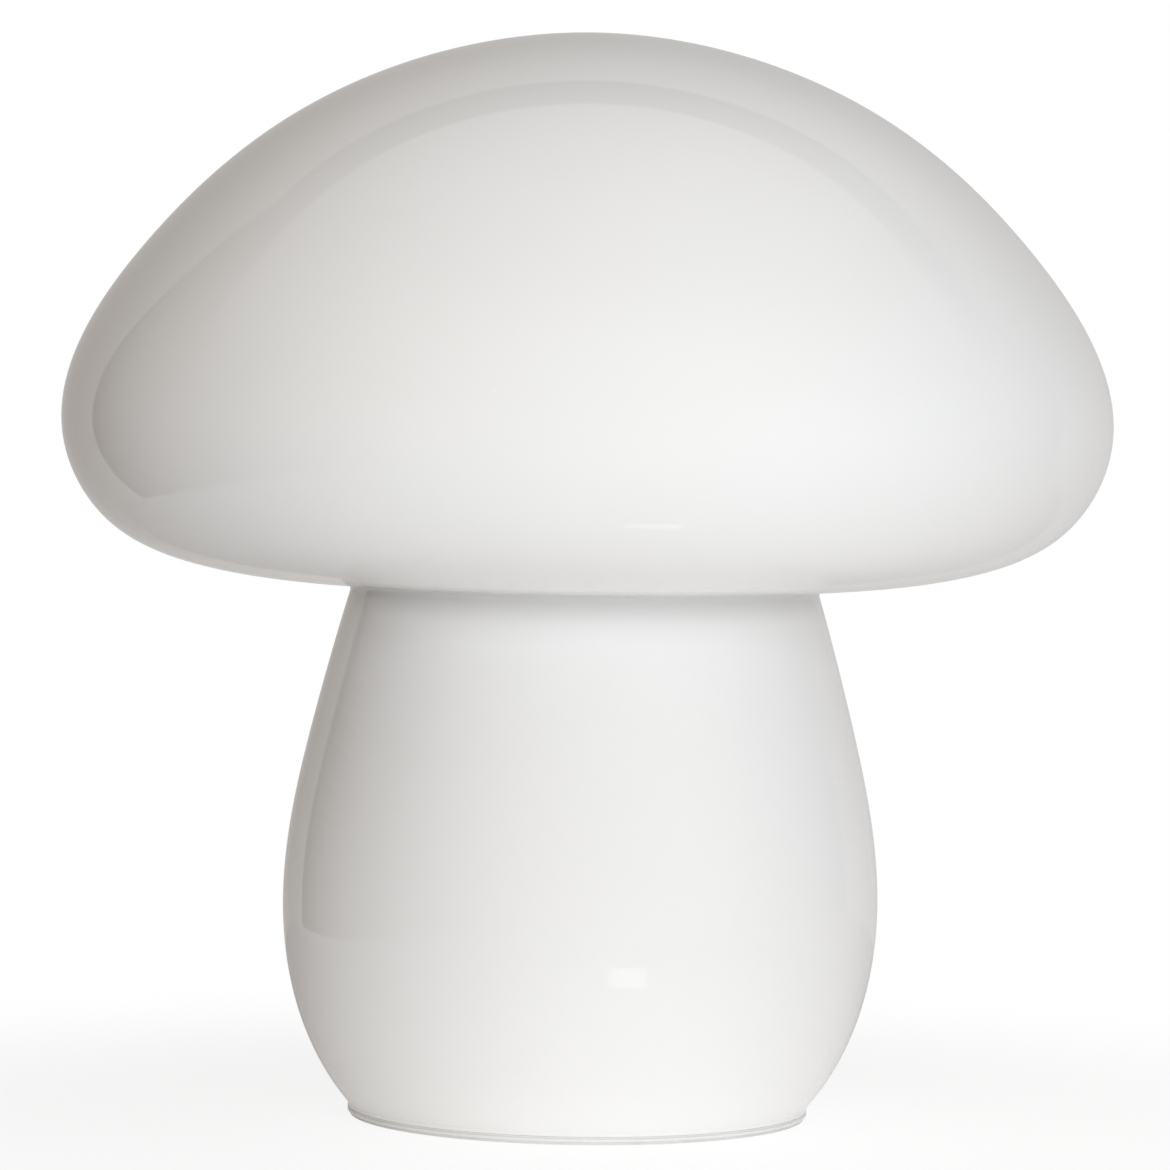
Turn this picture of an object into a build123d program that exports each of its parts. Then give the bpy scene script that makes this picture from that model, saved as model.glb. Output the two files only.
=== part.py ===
from build123d import *
import math
import os

os.makedirs("parts", exist_ok=True)

# Mushroom table lamp: one blown opal glass, cap and stem together, stands on a thin
# steel base that carries the wiring cover, the lampholder and a screw-in bulb.
# Millimetres.  The origin is on the table under the middle of the foot, +Z is up,
# -Y is the front and +Y is the back, where the supply cord comes in.

# ---------------------------------------------------------------- driving dimensions

# Stack under the glass, from the table up
pad_thickness = 0.8
plate_thickness = 1.0
gasket_thickness = 0.4

# Outside of the glass, from its ground foot up: the radius at each point of the
# outline, and the climb to it from the point below
glass_wall = 4.0
foot_radius = 63.8
land_height = 1.2
heel_lean = 41.0
heel_radius = 76.1
heel_climb = 21.7
belly_radius = 82.5
belly_climb = 33.1
mid_stem_radius = 74.75
mid_stem_climb = 52.5
neck_radius = 65.0
neck_climb = 36.2
neck_fillet = 2.5
neck_lean = 16.5
underside_radius = 104.7
underside_climb = 6.0
lower_rim_radius = 132.7
lower_rim_climb = 12.7
rim_radius = 144.5
rim_climb = 21.2
lower_shoulder_radius = 121.6
lower_shoulder_climb = 55.9
upper_shoulder_radius = 74.9
upper_shoulder_climb = 39.2
crown_climb = 19.3
wall_points = 8

# Base plate, pad and gasket
plate_edge_radius = 0.3
gasket_inset = 0.7
pad_inset = 2.0
pad_width = 8.5

# Cord inlet at the back
inlet_height = 9.2
cord_bore_radius = 3.1
bush_neck_radius = 4.0
bush_flange_radius = 5.2
bush_flange_thickness = 1.5
notch_half_width = 4.2

# Wiring cover: a moulded pan that also centres the glass
cover_clearance = 0.5
cover_wall = 1.8
cover_flange = 2.0
cover_upstand = 8.0
cover_roof = 2.0
cover_height = 20.2
cover_box_radius = 38.0
cover_edge_radius = 1.5
bush_seat_width = 14.0
bush_seat_margin = 1.0
bush_seat_thickness = 2.8
bush_seat_inset = 2.4
stud_spacing_from_box = 9.0
stud_count = 3
stud_first_angle = 30.0

# Small fasteners
stud_radius = 1.5
stud_end = 0.8
thread_clearance = 0.05
hole_clearance = 0.2
nut_across_flats = 5.5
nut_height = 2.4
washer_radius = 3.5
washer_thickness = 0.5

# Two-pole terminal block inside the wiring cover
block_width = 20.0
block_length = 17.0
block_height = 12.0
block_corner = 1.5
block_distance = 16.5
block_lip = 1.5
block_floor = 8.4
nut_well_radius = 3.4
pole_offset = 5.0
insert_radius = 2.6
insert_bore_radius = 1.6
insert_length = 13.0
clamp_screw_spacing = 7.0
clamp_screw_radius = 1.2
clamp_head_radius = 1.9
clamp_head_height = 1.6
slot_width = 0.5
slot_depth = 0.8

# Threaded stand tube
tube_radius = 5.0
tube_bore_radius = 4.0
tube_below_cover = 7.0
tube_above_cover = 35.5
tube_nut_across_flats = 14.0
tube_nut_height = 3.0
tube_washer_radius = 8.6
tube_washer_thickness = 0.8
tube_washer_teeth = 12
tooth_depth = 1.4
tooth_gap = 1.0

# Lampholder
holder_radius = 20.5
holder_wall = 1.8
collar_radius = 7.6
collar_grip = 10.0
holder_shoulder = 1.4
holder_cap_depth = 20.5
holder_joint = 8.0
ledge_radius = 15.5
ledge_depth = 6.0
holder_fit = 0.1
contact_block_radius = 16.8
contact_block_height = 14.3
spigot_start = 2.0
socket_radius = 13.65
socket_depth = 27.7
socket_chamfer = 0.8
grub_radius = 1.5
grub_proud = 0.3
grub_socket_radius = 0.75
grub_socket_depth = 1.2

# Terminals and sprung contacts in the lampholder
terminal_distance = 11.0
terminal_width = 5.6
terminal_breadth = 6.6
terminal_height = 9.0
terminal_rise = 1.0
terminal_fit = 0.2
wire_hole_radius = 1.3
wire_hole_depth = 6.0
terminal_screw_rise = 4.0
strap_thickness = 0.8
strap_width = 5.0
landing_edge = 7.0
leaf_gap = 0.2
leaf_thickness = 0.5
leaf_width = 6.0
leaf_lift = 0.35
centre_leaf_middle = 2.0
centre_leaf_crest = 2.5
centre_leaf_reach = 9.0
centre_leaf_end = 2.2
side_leaf_lean = 3.1
side_leaf_bow = 1.0
side_leaf_height = 6.6

# Internal leads
lead_radius = 1.1
lead_offset = 1.4
lead_in_block = 6.0
lead_bend_out = 5.6
lead_bend_up = 5.0
lead_rise_above_tube = 4.0
lead_spread_height = 8.5
lead_in_terminal = 5.0
lead_bend_share = 0.45

# Bulb with a 27 mm screw cap
contact_gap = 0.35
tip_radius = 4.6
tip_height = 1.2
insulator_tip_radius = 5.4
insulator_radius = 11.2
insulator_cone = 3.8
insulator_rim = 2.0
bulb_running_gap = 0.4
screw_major_radius = 13.1
screw_root_radius = 12.2
screw_pitch = 3.629
screw_turns = 4
screw_wall = 0.45
screw_start = 4.6
screw_bead = 0.8
housing_neck_radius = 14.0
housing_wall = 1.6
housing_spigot = 6.0
housing_height = 47.0
housing_swell_radius = 25.0
housing_swell_rise = 28.0
globe_radius = 30.0
globe_drop = 6.0
globe_wall = 1.2
globe_lip = 3.0
globe_lip_gap = 0.1
board_edge_gap = 1.8
board_seat_inset = 0.5
board_seat_width = 3.5
board_thickness = 1.6
board_drop = 5.0
board_ledge = 3.0
chip_inset = 9.0
chip_count = 12
chip_size = 2.8
chip_height = 0.7
driver_width = 19.0
driver_thickness = 1.2
driver_height = 33.0
driver_start = 1.0
capacitor_radius = 4.0
capacitor_length = 12.0
coil_size = 8.0

# End slopes of the curves, as long as the chords between their points
even_ends = (1, 1)

# ------------------------------------------------------------------ worked-out places

plate_top = pad_thickness + plate_thickness
foot_plane = plate_top + gasket_thickness
heel_plane = foot_plane + heel_climb
belly_plane = heel_plane + belly_climb
mid_stem_plane = belly_plane + mid_stem_climb
neck_plane = mid_stem_plane + neck_climb
underside_plane = neck_plane + underside_climb
lower_rim_plane = underside_plane + lower_rim_climb
rim_plane = lower_rim_plane + rim_climb
lower_shoulder_plane = rim_plane + lower_shoulder_climb
upper_shoulder_plane = lower_shoulder_plane + upper_shoulder_climb
crown_plane = upper_shoulder_plane + crown_climb
mouth_radius = foot_radius - glass_wall * math.cos(math.radians(heel_lean))
cover_radius = mouth_radius - cover_clearance
flange_top = plate_top + cover_flange
cover_top = plate_top + cover_height
bush_seat_distance = cover_box_radius - bush_seat_inset
stud_circle_radius = cover_box_radius + stud_spacing_from_box
roof_underside = cover_top - cover_roof
bush_seat_outside = bush_seat_distance + bush_seat_thickness
nut_bottom = flange_top + washer_thickness
pole_height = plate_top + block_height / 2 - block_lip / 2
block_top = plate_top + block_height
tube_bottom = cover_top - tube_below_cover
tube_top = cover_top + tube_above_cover
cap_floor = tube_top + holder_shoulder
cap_inner_radius = holder_radius - holder_wall
dome_radius = holder_radius - collar_radius
cap_bottom = tube_top - collar_grip
cap_joint = tube_top + holder_cap_depth
ledge_top = cap_joint - holder_joint
socket_floor = ledge_top + contact_block_height
holder_top = socket_floor + socket_depth
landing_top = socket_floor + strap_thickness
leaf_bottom = socket_floor + leaf_lift
bulb_tip = leaf_bottom + centre_leaf_crest + leaf_thickness + contact_gap
screw_bottom = bulb_tip + screw_start
housing_bottom = holder_top + bulb_running_gap
housing_top = housing_bottom + housing_height
globe_centre = housing_top + globe_drop
housing_rim_radius = math.sqrt(globe_radius**2 - globe_drop**2)
board_bottom = housing_top - board_drop
rebate_radius = housing_rim_radius - housing_wall
board_radius = rebate_radius - board_edge_gap
chip_circle_radius = board_radius - chip_inset


# --------------------------------------------------------------------- shared shaping

def add_ring(bottom, height, outer_radius, inner_radius):
    """Add a flat ring about Z to the piece in hand, or a disc if it has no hole."""
    with BuildSketch(Plane.XY.offset(bottom)) as ring:
        Circle(outer_radius)
        if inner_radius > 0:
            Circle(inner_radius, mode=Mode.SUBTRACT)
    extrude(ring.sketch, amount=height)


def add_spun(points):
    """Add the solid that a closed outline of (radius, height) points sweeps about Z."""
    with BuildSketch(Plane.XZ) as section:
        with BuildLine():
            Polyline(*points, close=True)
        make_face()
    revolve(section.sketch, axis=Axis.Z)


def add_nuts(spots, bottom, height, across_flats, bore_radius):
    """Add a hexagonal nut at each of the given places."""
    with BuildSketch(Plane.XY.offset(bottom)) as nuts:
        with spots:
            RegularPolygon(across_flats / 2, side_count=6, major_radius=False)
            Circle(bore_radius, mode=Mode.SUBTRACT)
    extrude(nuts.sketch, amount=height)


def inside_of(outer_curve, count):
    """Points one wall inside a curve of the glass, evenly spaced along it."""
    steps = [number / (count + 1) for number in range(1, count + 1)]
    return [outer_curve @ u + (outer_curve % u).rotate(Axis.Z, 90) * glass_wall for u in steps]


def stud_spots():
    """Places of the base plate's cover studs."""
    return PolarLocations(stud_circle_radius, stud_count, start_angle=stud_first_angle)


def clamp_spots():
    """Places of the four wire clamp screws in the terminal block."""
    middle = Location((0, block_distance))
    places = GridLocations(2 * pole_offset, clamp_screw_spacing, 2, 2)
    return Locations([middle * place for place in places.locations])


# ---------------------------------------------------------------------------- glass

with BuildPart() as glass_body:
    with BuildSketch(Plane.XZ) as glass_section:
        with BuildLine() as glass_outline:
            fillet_centre = (neck_radius + neck_fillet, neck_plane)
            neck_turn = 90 + neck_lean
            heel_rad = math.radians(heel_lean)
            neck_rad = math.radians(neck_lean)
            land = Line((foot_radius, foot_plane), (foot_radius, foot_plane + land_height))
            neck = CenterArc(fillet_centre, neck_fillet, 180 + neck_lean, -neck_turn)
            stem = Spline(
                land @ 1,
                (heel_radius, heel_plane),
                (belly_radius, belly_plane),
                (mid_stem_radius, mid_stem_plane),
                neck @ 0,
                tangents=[
                    (math.sin(heel_rad), math.cos(heel_rad)),
                    (-math.sin(neck_rad), math.cos(neck_rad)),
                ],
                tangent_scalars=even_ends,
            )
            cap = Spline(
                neck @ 1,
                (underside_radius, underside_plane),
                (lower_rim_radius, lower_rim_plane),
                (rim_radius, rim_plane),
                (lower_shoulder_radius, lower_shoulder_plane),
                (upper_shoulder_radius, upper_shoulder_plane),
                (0, crown_plane),
                tangents=[(1, 0), (-1, 0)],
                tangent_scalars=even_ends,
            )
            inner_apex = (0, crown_plane - glass_wall)
            Line(cap @ 1, inner_apex)
            inner_neck = CenterArc(
                fillet_centre, neck_fillet + glass_wall, 180 + neck_lean, -neck_turn
            )
            Spline(
                inner_neck @ 1,
                *inside_of(cap, wall_points),
                inner_apex,
                tangents=[(1, 0), (-1, 0)],
                tangent_scalars=even_ends,
            )
            inner_foot = stem @ 0 + (stem % 0).rotate(Axis.Z, 90) * glass_wall
            Spline(
                inner_foot,
                *inside_of(stem, wall_points),
                inner_neck @ 0,
                tangents=[stem % 0, stem % 1],
                tangent_scalars=even_ends,
            )
            mouth_edge = (inner_foot.X, foot_plane)
            Line(inner_foot, mouth_edge)
            Line(mouth_edge, land @ 0)
        make_face()
    revolve(axis=Axis.Z)
    # Notch ground in the back of the foot, where the cord leaves
    with BuildSketch(Plane.XZ) as cord_notch:
        with Locations((0, inlet_height)):
            Circle(notch_half_width)
            Rectangle(
                2 * notch_half_width,
                inlet_height - foot_plane + land_height,
                align=(Align.CENTER, Align.MAX),
            )
    extrude(cord_notch.sketch, amount=-belly_radius, mode=Mode.SUBTRACT)
glass_body.part.label = "glass_body"
export_step(glass_body.part, "parts/glass_body.step")

# ------------------------------------------------------------------ base plate and pad

with BuildPart() as foot_pad:
    pad_radius = foot_radius - pad_inset
    add_ring(0, pad_thickness, pad_radius, pad_radius - pad_width)
foot_pad.part.label = "foot_pad"
export_step(foot_pad.part, "parts/foot_pad.step")

with BuildPart() as base_plate:
    add_ring(pad_thickness, plate_thickness, foot_radius, 0)
    fillet(base_plate.edges().filter_by(GeomType.CIRCLE), plate_edge_radius)
    with BuildSketch(Plane.XY.offset(plate_top)) as cover_studs:
        with stud_spots():
            Circle(stud_radius)
    extrude(amount=nut_bottom + nut_height + stud_end - plate_top)
    with BuildSketch(Plane.XY.offset(plate_top)) as block_stud:
        with Locations((0, block_distance)):
            Circle(stud_radius)
    extrude(amount=block_floor + nut_height + stud_end)
base_plate.part.label = "base_plate"
export_step(base_plate.part, "parts/base_plate.step")

with BuildPart() as seat_gasket:
    add_ring(plate_top, gasket_thickness, foot_radius - gasket_inset, mouth_radius)
seat_gasket.part.label = "seat_gasket"
export_step(seat_gasket.part, "parts/seat_gasket.step")

# ----------------------------------------------------------------------- wiring cover

with BuildPart() as wiring_cover:
    upstand_inside = cover_radius - cover_wall
    upstand_top = plate_top + cover_upstand
    box_inside = cover_box_radius - cover_wall
    tube_hole = tube_radius + hole_clearance
    add_spun([
        (box_inside, plate_top),
        (cover_radius, plate_top),
        (cover_radius, upstand_top),
        (upstand_inside, upstand_top),
        (upstand_inside, flange_top),
        (cover_box_radius, flange_top),
        (cover_box_radius, cover_top),
        (tube_hole, cover_top),
        (tube_hole, roof_underside),
        (box_inside, roof_underside),
    ])
    roof_rim = wiring_cover.edges().filter_by(GeomType.CIRCLE).group_by(Axis.Z)[-1]
    fillet(roof_rim.sort_by(SortBy.RADIUS)[-1], cover_edge_radius)
    # Flat seat for the cord bush in the round wall
    seat_top = inlet_height + bush_flange_radius + bush_seat_margin
    with BuildSketch(Plane.XY.offset(plate_top)) as bush_seat:
        with Locations((0, bush_seat_distance)):
            Rectangle(
                bush_seat_width, bush_seat_thickness, align=(Align.CENTER, Align.MIN)
            )
    extrude(amount=seat_top - plate_top)
    with BuildSketch(Plane.XZ) as bush_hole:
        with Locations((0, inlet_height)):
            Circle(bush_neck_radius)
    extrude(amount=-bush_seat_outside, mode=Mode.SUBTRACT)
    # Gap in the upstand for the cord
    with BuildSketch(Plane.XZ.offset(-stud_circle_radius)) as upstand_gap:
        with Locations((0, inlet_height - notch_half_width)):
            Rectangle(2 * notch_half_width, cover_upstand, align=(Align.CENTER, Align.MIN))
    extrude(amount=stud_circle_radius - foot_radius, mode=Mode.SUBTRACT)
    with BuildSketch(Plane.XY.offset(plate_top)) as stud_holes:
        with stud_spots():
            Circle(stud_radius + hole_clearance)
    extrude(amount=cover_flange, mode=Mode.SUBTRACT)
wiring_cover.part.label = "wiring_cover"
export_step(wiring_cover.part, "parts/wiring_cover.step")

with BuildPart() as cover_washers:
    with BuildSketch(Plane.XY.offset(flange_top)):
        with stud_spots():
            Circle(washer_radius)
            Circle(stud_radius + hole_clearance, mode=Mode.SUBTRACT)
    extrude(amount=washer_thickness)
cover_washers.part.label = "cover_washers"
export_step(cover_washers.part, "parts/cover_washers.step")

with BuildPart() as cover_nuts:
    add_nuts(
        stud_spots(), nut_bottom, nut_height, nut_across_flats, stud_radius + thread_clearance
    )
cover_nuts.part.label = "cover_nuts"
export_step(cover_nuts.part, "parts/cover_nuts.step")

with BuildPart() as cord_bush:
    bush_start = bush_seat_distance - bush_flange_thickness
    bush_end = bush_seat_outside + bush_flange_thickness
    with BuildSketch(Plane.XY.offset(inlet_height)) as bush_section:
        with BuildLine():
            Polyline(
                (cord_bore_radius, bush_start),
                (bush_flange_radius, bush_start),
                (bush_flange_radius, bush_seat_distance),
                (bush_neck_radius, bush_seat_distance),
                (bush_neck_radius, bush_seat_outside),
                (bush_flange_radius, bush_seat_outside),
                (bush_flange_radius, bush_end),
                (cord_bore_radius, bush_end),
                close=True,
            )
        make_face()
    revolve(axis=Axis((0, 0, inlet_height), (0, 1, 0)))
cord_bush.part.label = "cord_bush"
export_step(cord_bush.part, "parts/cord_bush.step")

# --------------------------------------------------------------------- terminal block

block_inner_face = block_distance - block_length / 2
pole_centres = [(-pole_offset, pole_height), (pole_offset, pole_height)]

with BuildPart() as terminal_block:
    with BuildSketch(Plane.XY.offset(plate_top)) as block_plan:
        with Locations((0, block_distance)):
            RectangleRounded(block_width, block_length, block_corner)
    extrude(amount=block_height)
    with BuildSketch(Plane.XZ.offset(-block_inner_face)) as insert_ways:
        with Locations(*pole_centres):
            Circle(insert_radius + thread_clearance)
    extrude(amount=block_lip - block_length, mode=Mode.SUBTRACT)
    with BuildSketch(Plane.XZ.offset(-block_inner_face)) as wire_ways:
        with Locations(*pole_centres):
            Circle(insert_bore_radius)
    extrude(amount=-block_length, mode=Mode.SUBTRACT)
    with BuildSketch(Plane.XY.offset(block_top)) as driver_ways:
        with clamp_spots():
            Circle(clamp_head_radius + hole_clearance)
    extrude(amount=pole_height - block_top, mode=Mode.SUBTRACT)
    with BuildSketch(Plane.XY.offset(plate_top)) as fixing_hole:
        with Locations((0, block_distance)):
            Circle(stud_radius + hole_clearance)
    extrude(amount=block_height, mode=Mode.SUBTRACT)
    with BuildSketch(Plane.XY.offset(plate_top + block_floor)) as nut_well:
        with Locations((0, block_distance)):
            Circle(nut_well_radius)
    extrude(amount=block_height, mode=Mode.SUBTRACT)
terminal_block.part.label = "terminal_block"
export_step(terminal_block.part, "parts/terminal_block.step")

with BuildPart() as terminal_inserts:
    insert_start = block_inner_face + block_length - block_lip - insert_length
    with BuildSketch(Plane.XZ.offset(-insert_start)) as insert_ends:
        with Locations(*pole_centres):
            Circle(insert_radius)
            Circle(insert_bore_radius, mode=Mode.SUBTRACT)
    extrude(amount=-insert_length)
    with BuildSketch(Plane.XY.offset(pole_height)) as tapped_holes:
        with clamp_spots():
            Circle(clamp_screw_radius + thread_clearance)
    extrude(amount=insert_radius, mode=Mode.SUBTRACT)
terminal_inserts.part.label = "terminal_inserts"
export_step(terminal_inserts.part, "parts/terminal_inserts.step")

with BuildPart() as terminal_screws:
    head_bottom = pole_height + insert_radius + thread_clearance
    with BuildSketch(Plane.XY.offset(pole_height + lead_radius + thread_clearance)) as shanks:
        with clamp_spots():
            Circle(clamp_screw_radius)
    extrude(amount=head_bottom - pole_height - lead_radius)
    with BuildSketch(Plane.XY.offset(head_bottom)) as heads:
        with clamp_spots():
            Circle(clamp_head_radius)
    extrude(amount=clamp_head_height)
    with BuildSketch(Plane.XY.offset(head_bottom + clamp_head_height)) as slots:
        with clamp_spots():
            Rectangle(2 * clamp_head_radius, slot_width)
    extrude(amount=-slot_depth, mode=Mode.SUBTRACT)
terminal_screws.part.label = "terminal_screws"
export_step(terminal_screws.part, "parts/terminal_screws.step")

with BuildPart() as block_nut:
    add_nuts(
        Locations((0, block_distance)),
        plate_top + block_floor,
        nut_height,
        nut_across_flats,
        stud_radius + thread_clearance,
    )
block_nut.part.label = "block_nut"
export_step(block_nut.part, "parts/block_nut.step")

# ------------------------------------------------------------------------- stand tube

with BuildPart() as stand_tube:
    add_ring(tube_bottom, tube_top - tube_bottom, tube_radius, tube_bore_radius)
stand_tube.part.label = "stand_tube"
export_step(stand_tube.part, "parts/stand_tube.step")

with BuildPart() as tube_washer:
    add_ring(
        cover_top, tube_washer_thickness, tube_washer_radius, tube_radius + hole_clearance
    )
    with BuildSketch(Plane.XY.offset(cover_top)) as tooth_gaps:
        with PolarLocations(tube_washer_radius, tube_washer_teeth):
            Rectangle(2 * tooth_depth, tooth_gap)
    extrude(amount=tube_washer_thickness, mode=Mode.SUBTRACT)
tube_washer.part.label = "tube_washer"
export_step(tube_washer.part, "parts/tube_washer.step")

with BuildPart() as tube_nuts:
    for nut_base in (roof_underside - tube_nut_height, cover_top + tube_washer_thickness):
        add_nuts(
            Locations((0, 0)),
            nut_base,
            tube_nut_height,
            tube_nut_across_flats,
            tube_radius + thread_clearance,
        )
tube_nuts.part.label = "tube_nuts"
export_step(tube_nuts.part, "parts/tube_nuts.step")

# ------------------------------------------------------------------------- lampholder

grub_height = (cap_bottom + cap_joint - holder_joint - dome_radius) / 2

with BuildPart() as holder_cap:
    with BuildSketch(Plane.XZ) as cap_section:
        with BuildLine():
            dome_centre = (collar_radius, ledge_top)
            collar_bore = tube_radius + thread_clearance
            dome = CenterArc(dome_centre, dome_radius, 0, -90)
            Polyline(
                dome @ 1,
                (collar_radius, cap_bottom),
                (collar_bore, cap_bottom),
                (collar_bore, tube_top),
                (tube_bore_radius, tube_top),
                (tube_bore_radius, cap_floor),
                (collar_radius, cap_floor),
                (ledge_radius, ledge_top - ledge_depth),
                (ledge_radius, ledge_top),
                (cap_inner_radius, ledge_top),
                (cap_inner_radius, cap_joint),
                (holder_radius, cap_joint),
                dome @ 0,
            )
        make_face()
    revolve(axis=Axis.Z)
    with BuildSketch(Plane.YZ) as grub_hole:
        with Locations((0, grub_height)):
            Circle(grub_radius + thread_clearance)
    extrude(amount=holder_radius, mode=Mode.SUBTRACT)
holder_cap.part.label = "holder_cap"
export_step(holder_cap.part, "parts/holder_cap.step")

with BuildPart() as grub_screw:
    grub_length = collar_radius + grub_proud - tube_radius
    with BuildSketch(Plane.YZ.offset(tube_radius)) as grub_end:
        with Locations((0, grub_height)):
            Circle(grub_radius)
    extrude(amount=grub_length)
    with BuildSketch(Plane.YZ.offset(tube_radius + grub_length)) as key_socket:
        with Locations((0, grub_height)):
            RegularPolygon(grub_socket_radius, side_count=6, major_radius=False)
    extrude(amount=-grub_socket_depth, mode=Mode.SUBTRACT)
grub_screw.part.label = "grub_screw"
export_step(grub_screw.part, "parts/grub_screw.step")

with BuildPart() as holder_shell:
    spigot_radius = cap_inner_radius - holder_fit
    spigot_bottom = ledge_top + spigot_start
    block_room = contact_block_radius + holder_fit
    add_spun([
        (spigot_radius, spigot_bottom),
        (spigot_radius, cap_joint),
        (holder_radius, cap_joint),
        (holder_radius, holder_top),
        (socket_radius, holder_top),
        (socket_radius, socket_floor),
        (block_room, socket_floor),
        (block_room, spigot_bottom),
    ])
    mouth_edges = holder_shell.edges().filter_by(GeomType.CIRCLE).group_by(Axis.Z)[-1]
    chamfer(mouth_edges, socket_chamfer)
holder_shell.part.label = "holder_shell"
export_step(holder_shell.part, "parts/holder_shell.step")

terminal_bottom = ledge_top + terminal_rise
terminal_top = terminal_bottom + terminal_height
terminal_screw_height = terminal_bottom + terminal_screw_rise

with BuildPart() as contact_block:
    add_ring(ledge_top, contact_block_height, contact_block_radius, 0)
    with BuildSketch(Plane.XY.offset(ledge_top)) as terminal_pockets:
        with GridLocations(2 * terminal_distance, 0, 2, 1):
            Rectangle(terminal_width + 2 * terminal_fit, terminal_breadth + 2 * terminal_fit)
    extrude(amount=terminal_top - ledge_top, mode=Mode.SUBTRACT)
    with BuildSketch(Plane.XY.offset(terminal_top)) as strap_slots:
        with GridLocations(2 * terminal_distance, 0, 2, 1):
            Rectangle(strap_thickness + 2 * terminal_fit, strap_width + 2 * terminal_fit)
    extrude(amount=socket_floor - terminal_top, mode=Mode.SUBTRACT)
    with BuildSketch(Plane.XZ) as screw_ways:
        with Locations(
            (-terminal_distance, terminal_screw_height),
            (terminal_distance, terminal_screw_height),
        ):
            Circle(clamp_head_radius + hole_clearance)
    extrude(amount=contact_block_radius, mode=Mode.SUBTRACT)
contact_block.part.label = "contact_block"
export_step(contact_block.part, "parts/contact_block.step")

for side, terminal_name in ((-1, "live_terminal"), (1, "neutral_terminal")):
    with BuildPart() as terminal:
        with BuildSketch(Plane.XY.offset(terminal_bottom)) as pillar:
            with Locations((side * terminal_distance, 0)):
                Rectangle(terminal_width, terminal_breadth)
        extrude(amount=terminal_height)
        with BuildSketch(Plane.XY.offset(terminal_top)) as strap:
            with Locations((side * terminal_distance, 0)):
                Rectangle(strap_thickness, strap_width)
        extrude(amount=landing_top - terminal_top)
        landing_length = terminal_distance - landing_edge
        with BuildSketch(Plane.XY.offset(socket_floor)) as landing:
            with Locations((side * (landing_edge + landing_length / 2), 0)):
                Rectangle(landing_length, strap_width)
        extrude(amount=strap_thickness)
        with BuildSketch(Plane.XY.offset(terminal_bottom)) as wire_hole:
            with Locations((side * terminal_distance, 0)):
                Circle(wire_hole_radius)
        extrude(amount=wire_hole_depth, mode=Mode.SUBTRACT)
        with BuildSketch(Plane.XZ) as clamp_hole:
            with Locations((side * terminal_distance, terminal_screw_height)):
                Circle(clamp_screw_radius + thread_clearance)
        extrude(amount=terminal_breadth, mode=Mode.SUBTRACT)
    terminal.part.label = terminal_name
    export_step(terminal.part, f"parts/{terminal_name}.step")

with BuildPart() as holder_screws:
    screw_places = [
        (-terminal_distance, terminal_screw_height),
        (terminal_distance, terminal_screw_height),
    ]
    screw_tip = lead_radius + thread_clearance
    screw_head = terminal_breadth / 2 + terminal_fit
    with BuildSketch(Plane.XZ.offset(screw_tip)) as screw_shanks:
        with Locations(*screw_places):
            Circle(clamp_screw_radius)
    extrude(amount=screw_head - screw_tip)
    with BuildSketch(Plane.XZ.offset(screw_head)) as screw_heads:
        with Locations(*screw_places):
            Circle(clamp_head_radius)
    extrude(amount=clamp_head_height)
    with BuildSketch(Plane.XZ.offset(screw_head + clamp_head_height)) as screw_slots:
        with Locations(*screw_places):
            Rectangle(2 * clamp_head_radius, slot_width)
    extrude(amount=-slot_depth, mode=Mode.SUBTRACT)
holder_screws.part.label = "holder_screws"
export_step(holder_screws.part, "parts/holder_screws.step")

# The centre contact is a bowed leaf that the tip of the bulb presses down
with BuildPart() as centre_contact:
    leaf_root = -landing_edge + leaf_gap
    with BuildSketch(Plane.XZ) as centre_leaf:
        with BuildLine():
            under = ThreePointArc(
                (leaf_root, leaf_bottom),
                (leaf_root + centre_leaf_reach / 2, leaf_bottom + centre_leaf_middle),
                (leaf_root + centre_leaf_reach, leaf_bottom + centre_leaf_end),
            )
            over = ThreePointArc(
                (leaf_root, leaf_bottom + leaf_thickness),
                (
                    leaf_root + centre_leaf_reach / 2,
                    leaf_bottom + centre_leaf_middle + leaf_thickness,
                ),
                (
                    leaf_root + centre_leaf_reach,
                    leaf_bottom + centre_leaf_end + leaf_thickness,
                ),
            )
            Line(under @ 0, over @ 0)
            Line(under @ 1, over @ 1)
        make_face()
    extrude(amount=leaf_width / 2, both=True)
centre_contact.part.label = "centre_contact"
export_step(centre_contact.part, "parts/centre_contact.step")

# The side contact stands beside the bulb's insulator, under its screw shell
with BuildPart() as side_contact:
    leaf_start = landing_edge + leaf_gap
    leaf_foot = landing_top + leaf_gap
    with BuildSketch(Plane.XZ) as side_leaf:
        with BuildLine():
            inner = ThreePointArc(
                (leaf_start, leaf_foot),
                (
                    leaf_start + side_leaf_lean / 2 + side_leaf_bow,
                    leaf_foot + side_leaf_height / 2 - side_leaf_bow,
                ),
                (leaf_start + side_leaf_lean, leaf_foot + side_leaf_height),
            )
            outer = ThreePointArc(
                (leaf_start + leaf_thickness, leaf_foot),
                (
                    leaf_start + side_leaf_lean / 2 + side_leaf_bow + leaf_thickness,
                    leaf_foot + side_leaf_height / 2 - side_leaf_bow,
                ),
                (leaf_start + side_leaf_lean + leaf_thickness, leaf_foot + side_leaf_height),
            )
            Line(inner @ 0, outer @ 0)
            Line(inner @ 1, outer @ 1)
        make_face()
    extrude(amount=leaf_width / 2, both=True)
side_contact.part.label = "side_contact"
export_step(side_contact.part, "parts/side_contact.step")

# --------------------------------------------------------------------- internal leads

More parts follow.
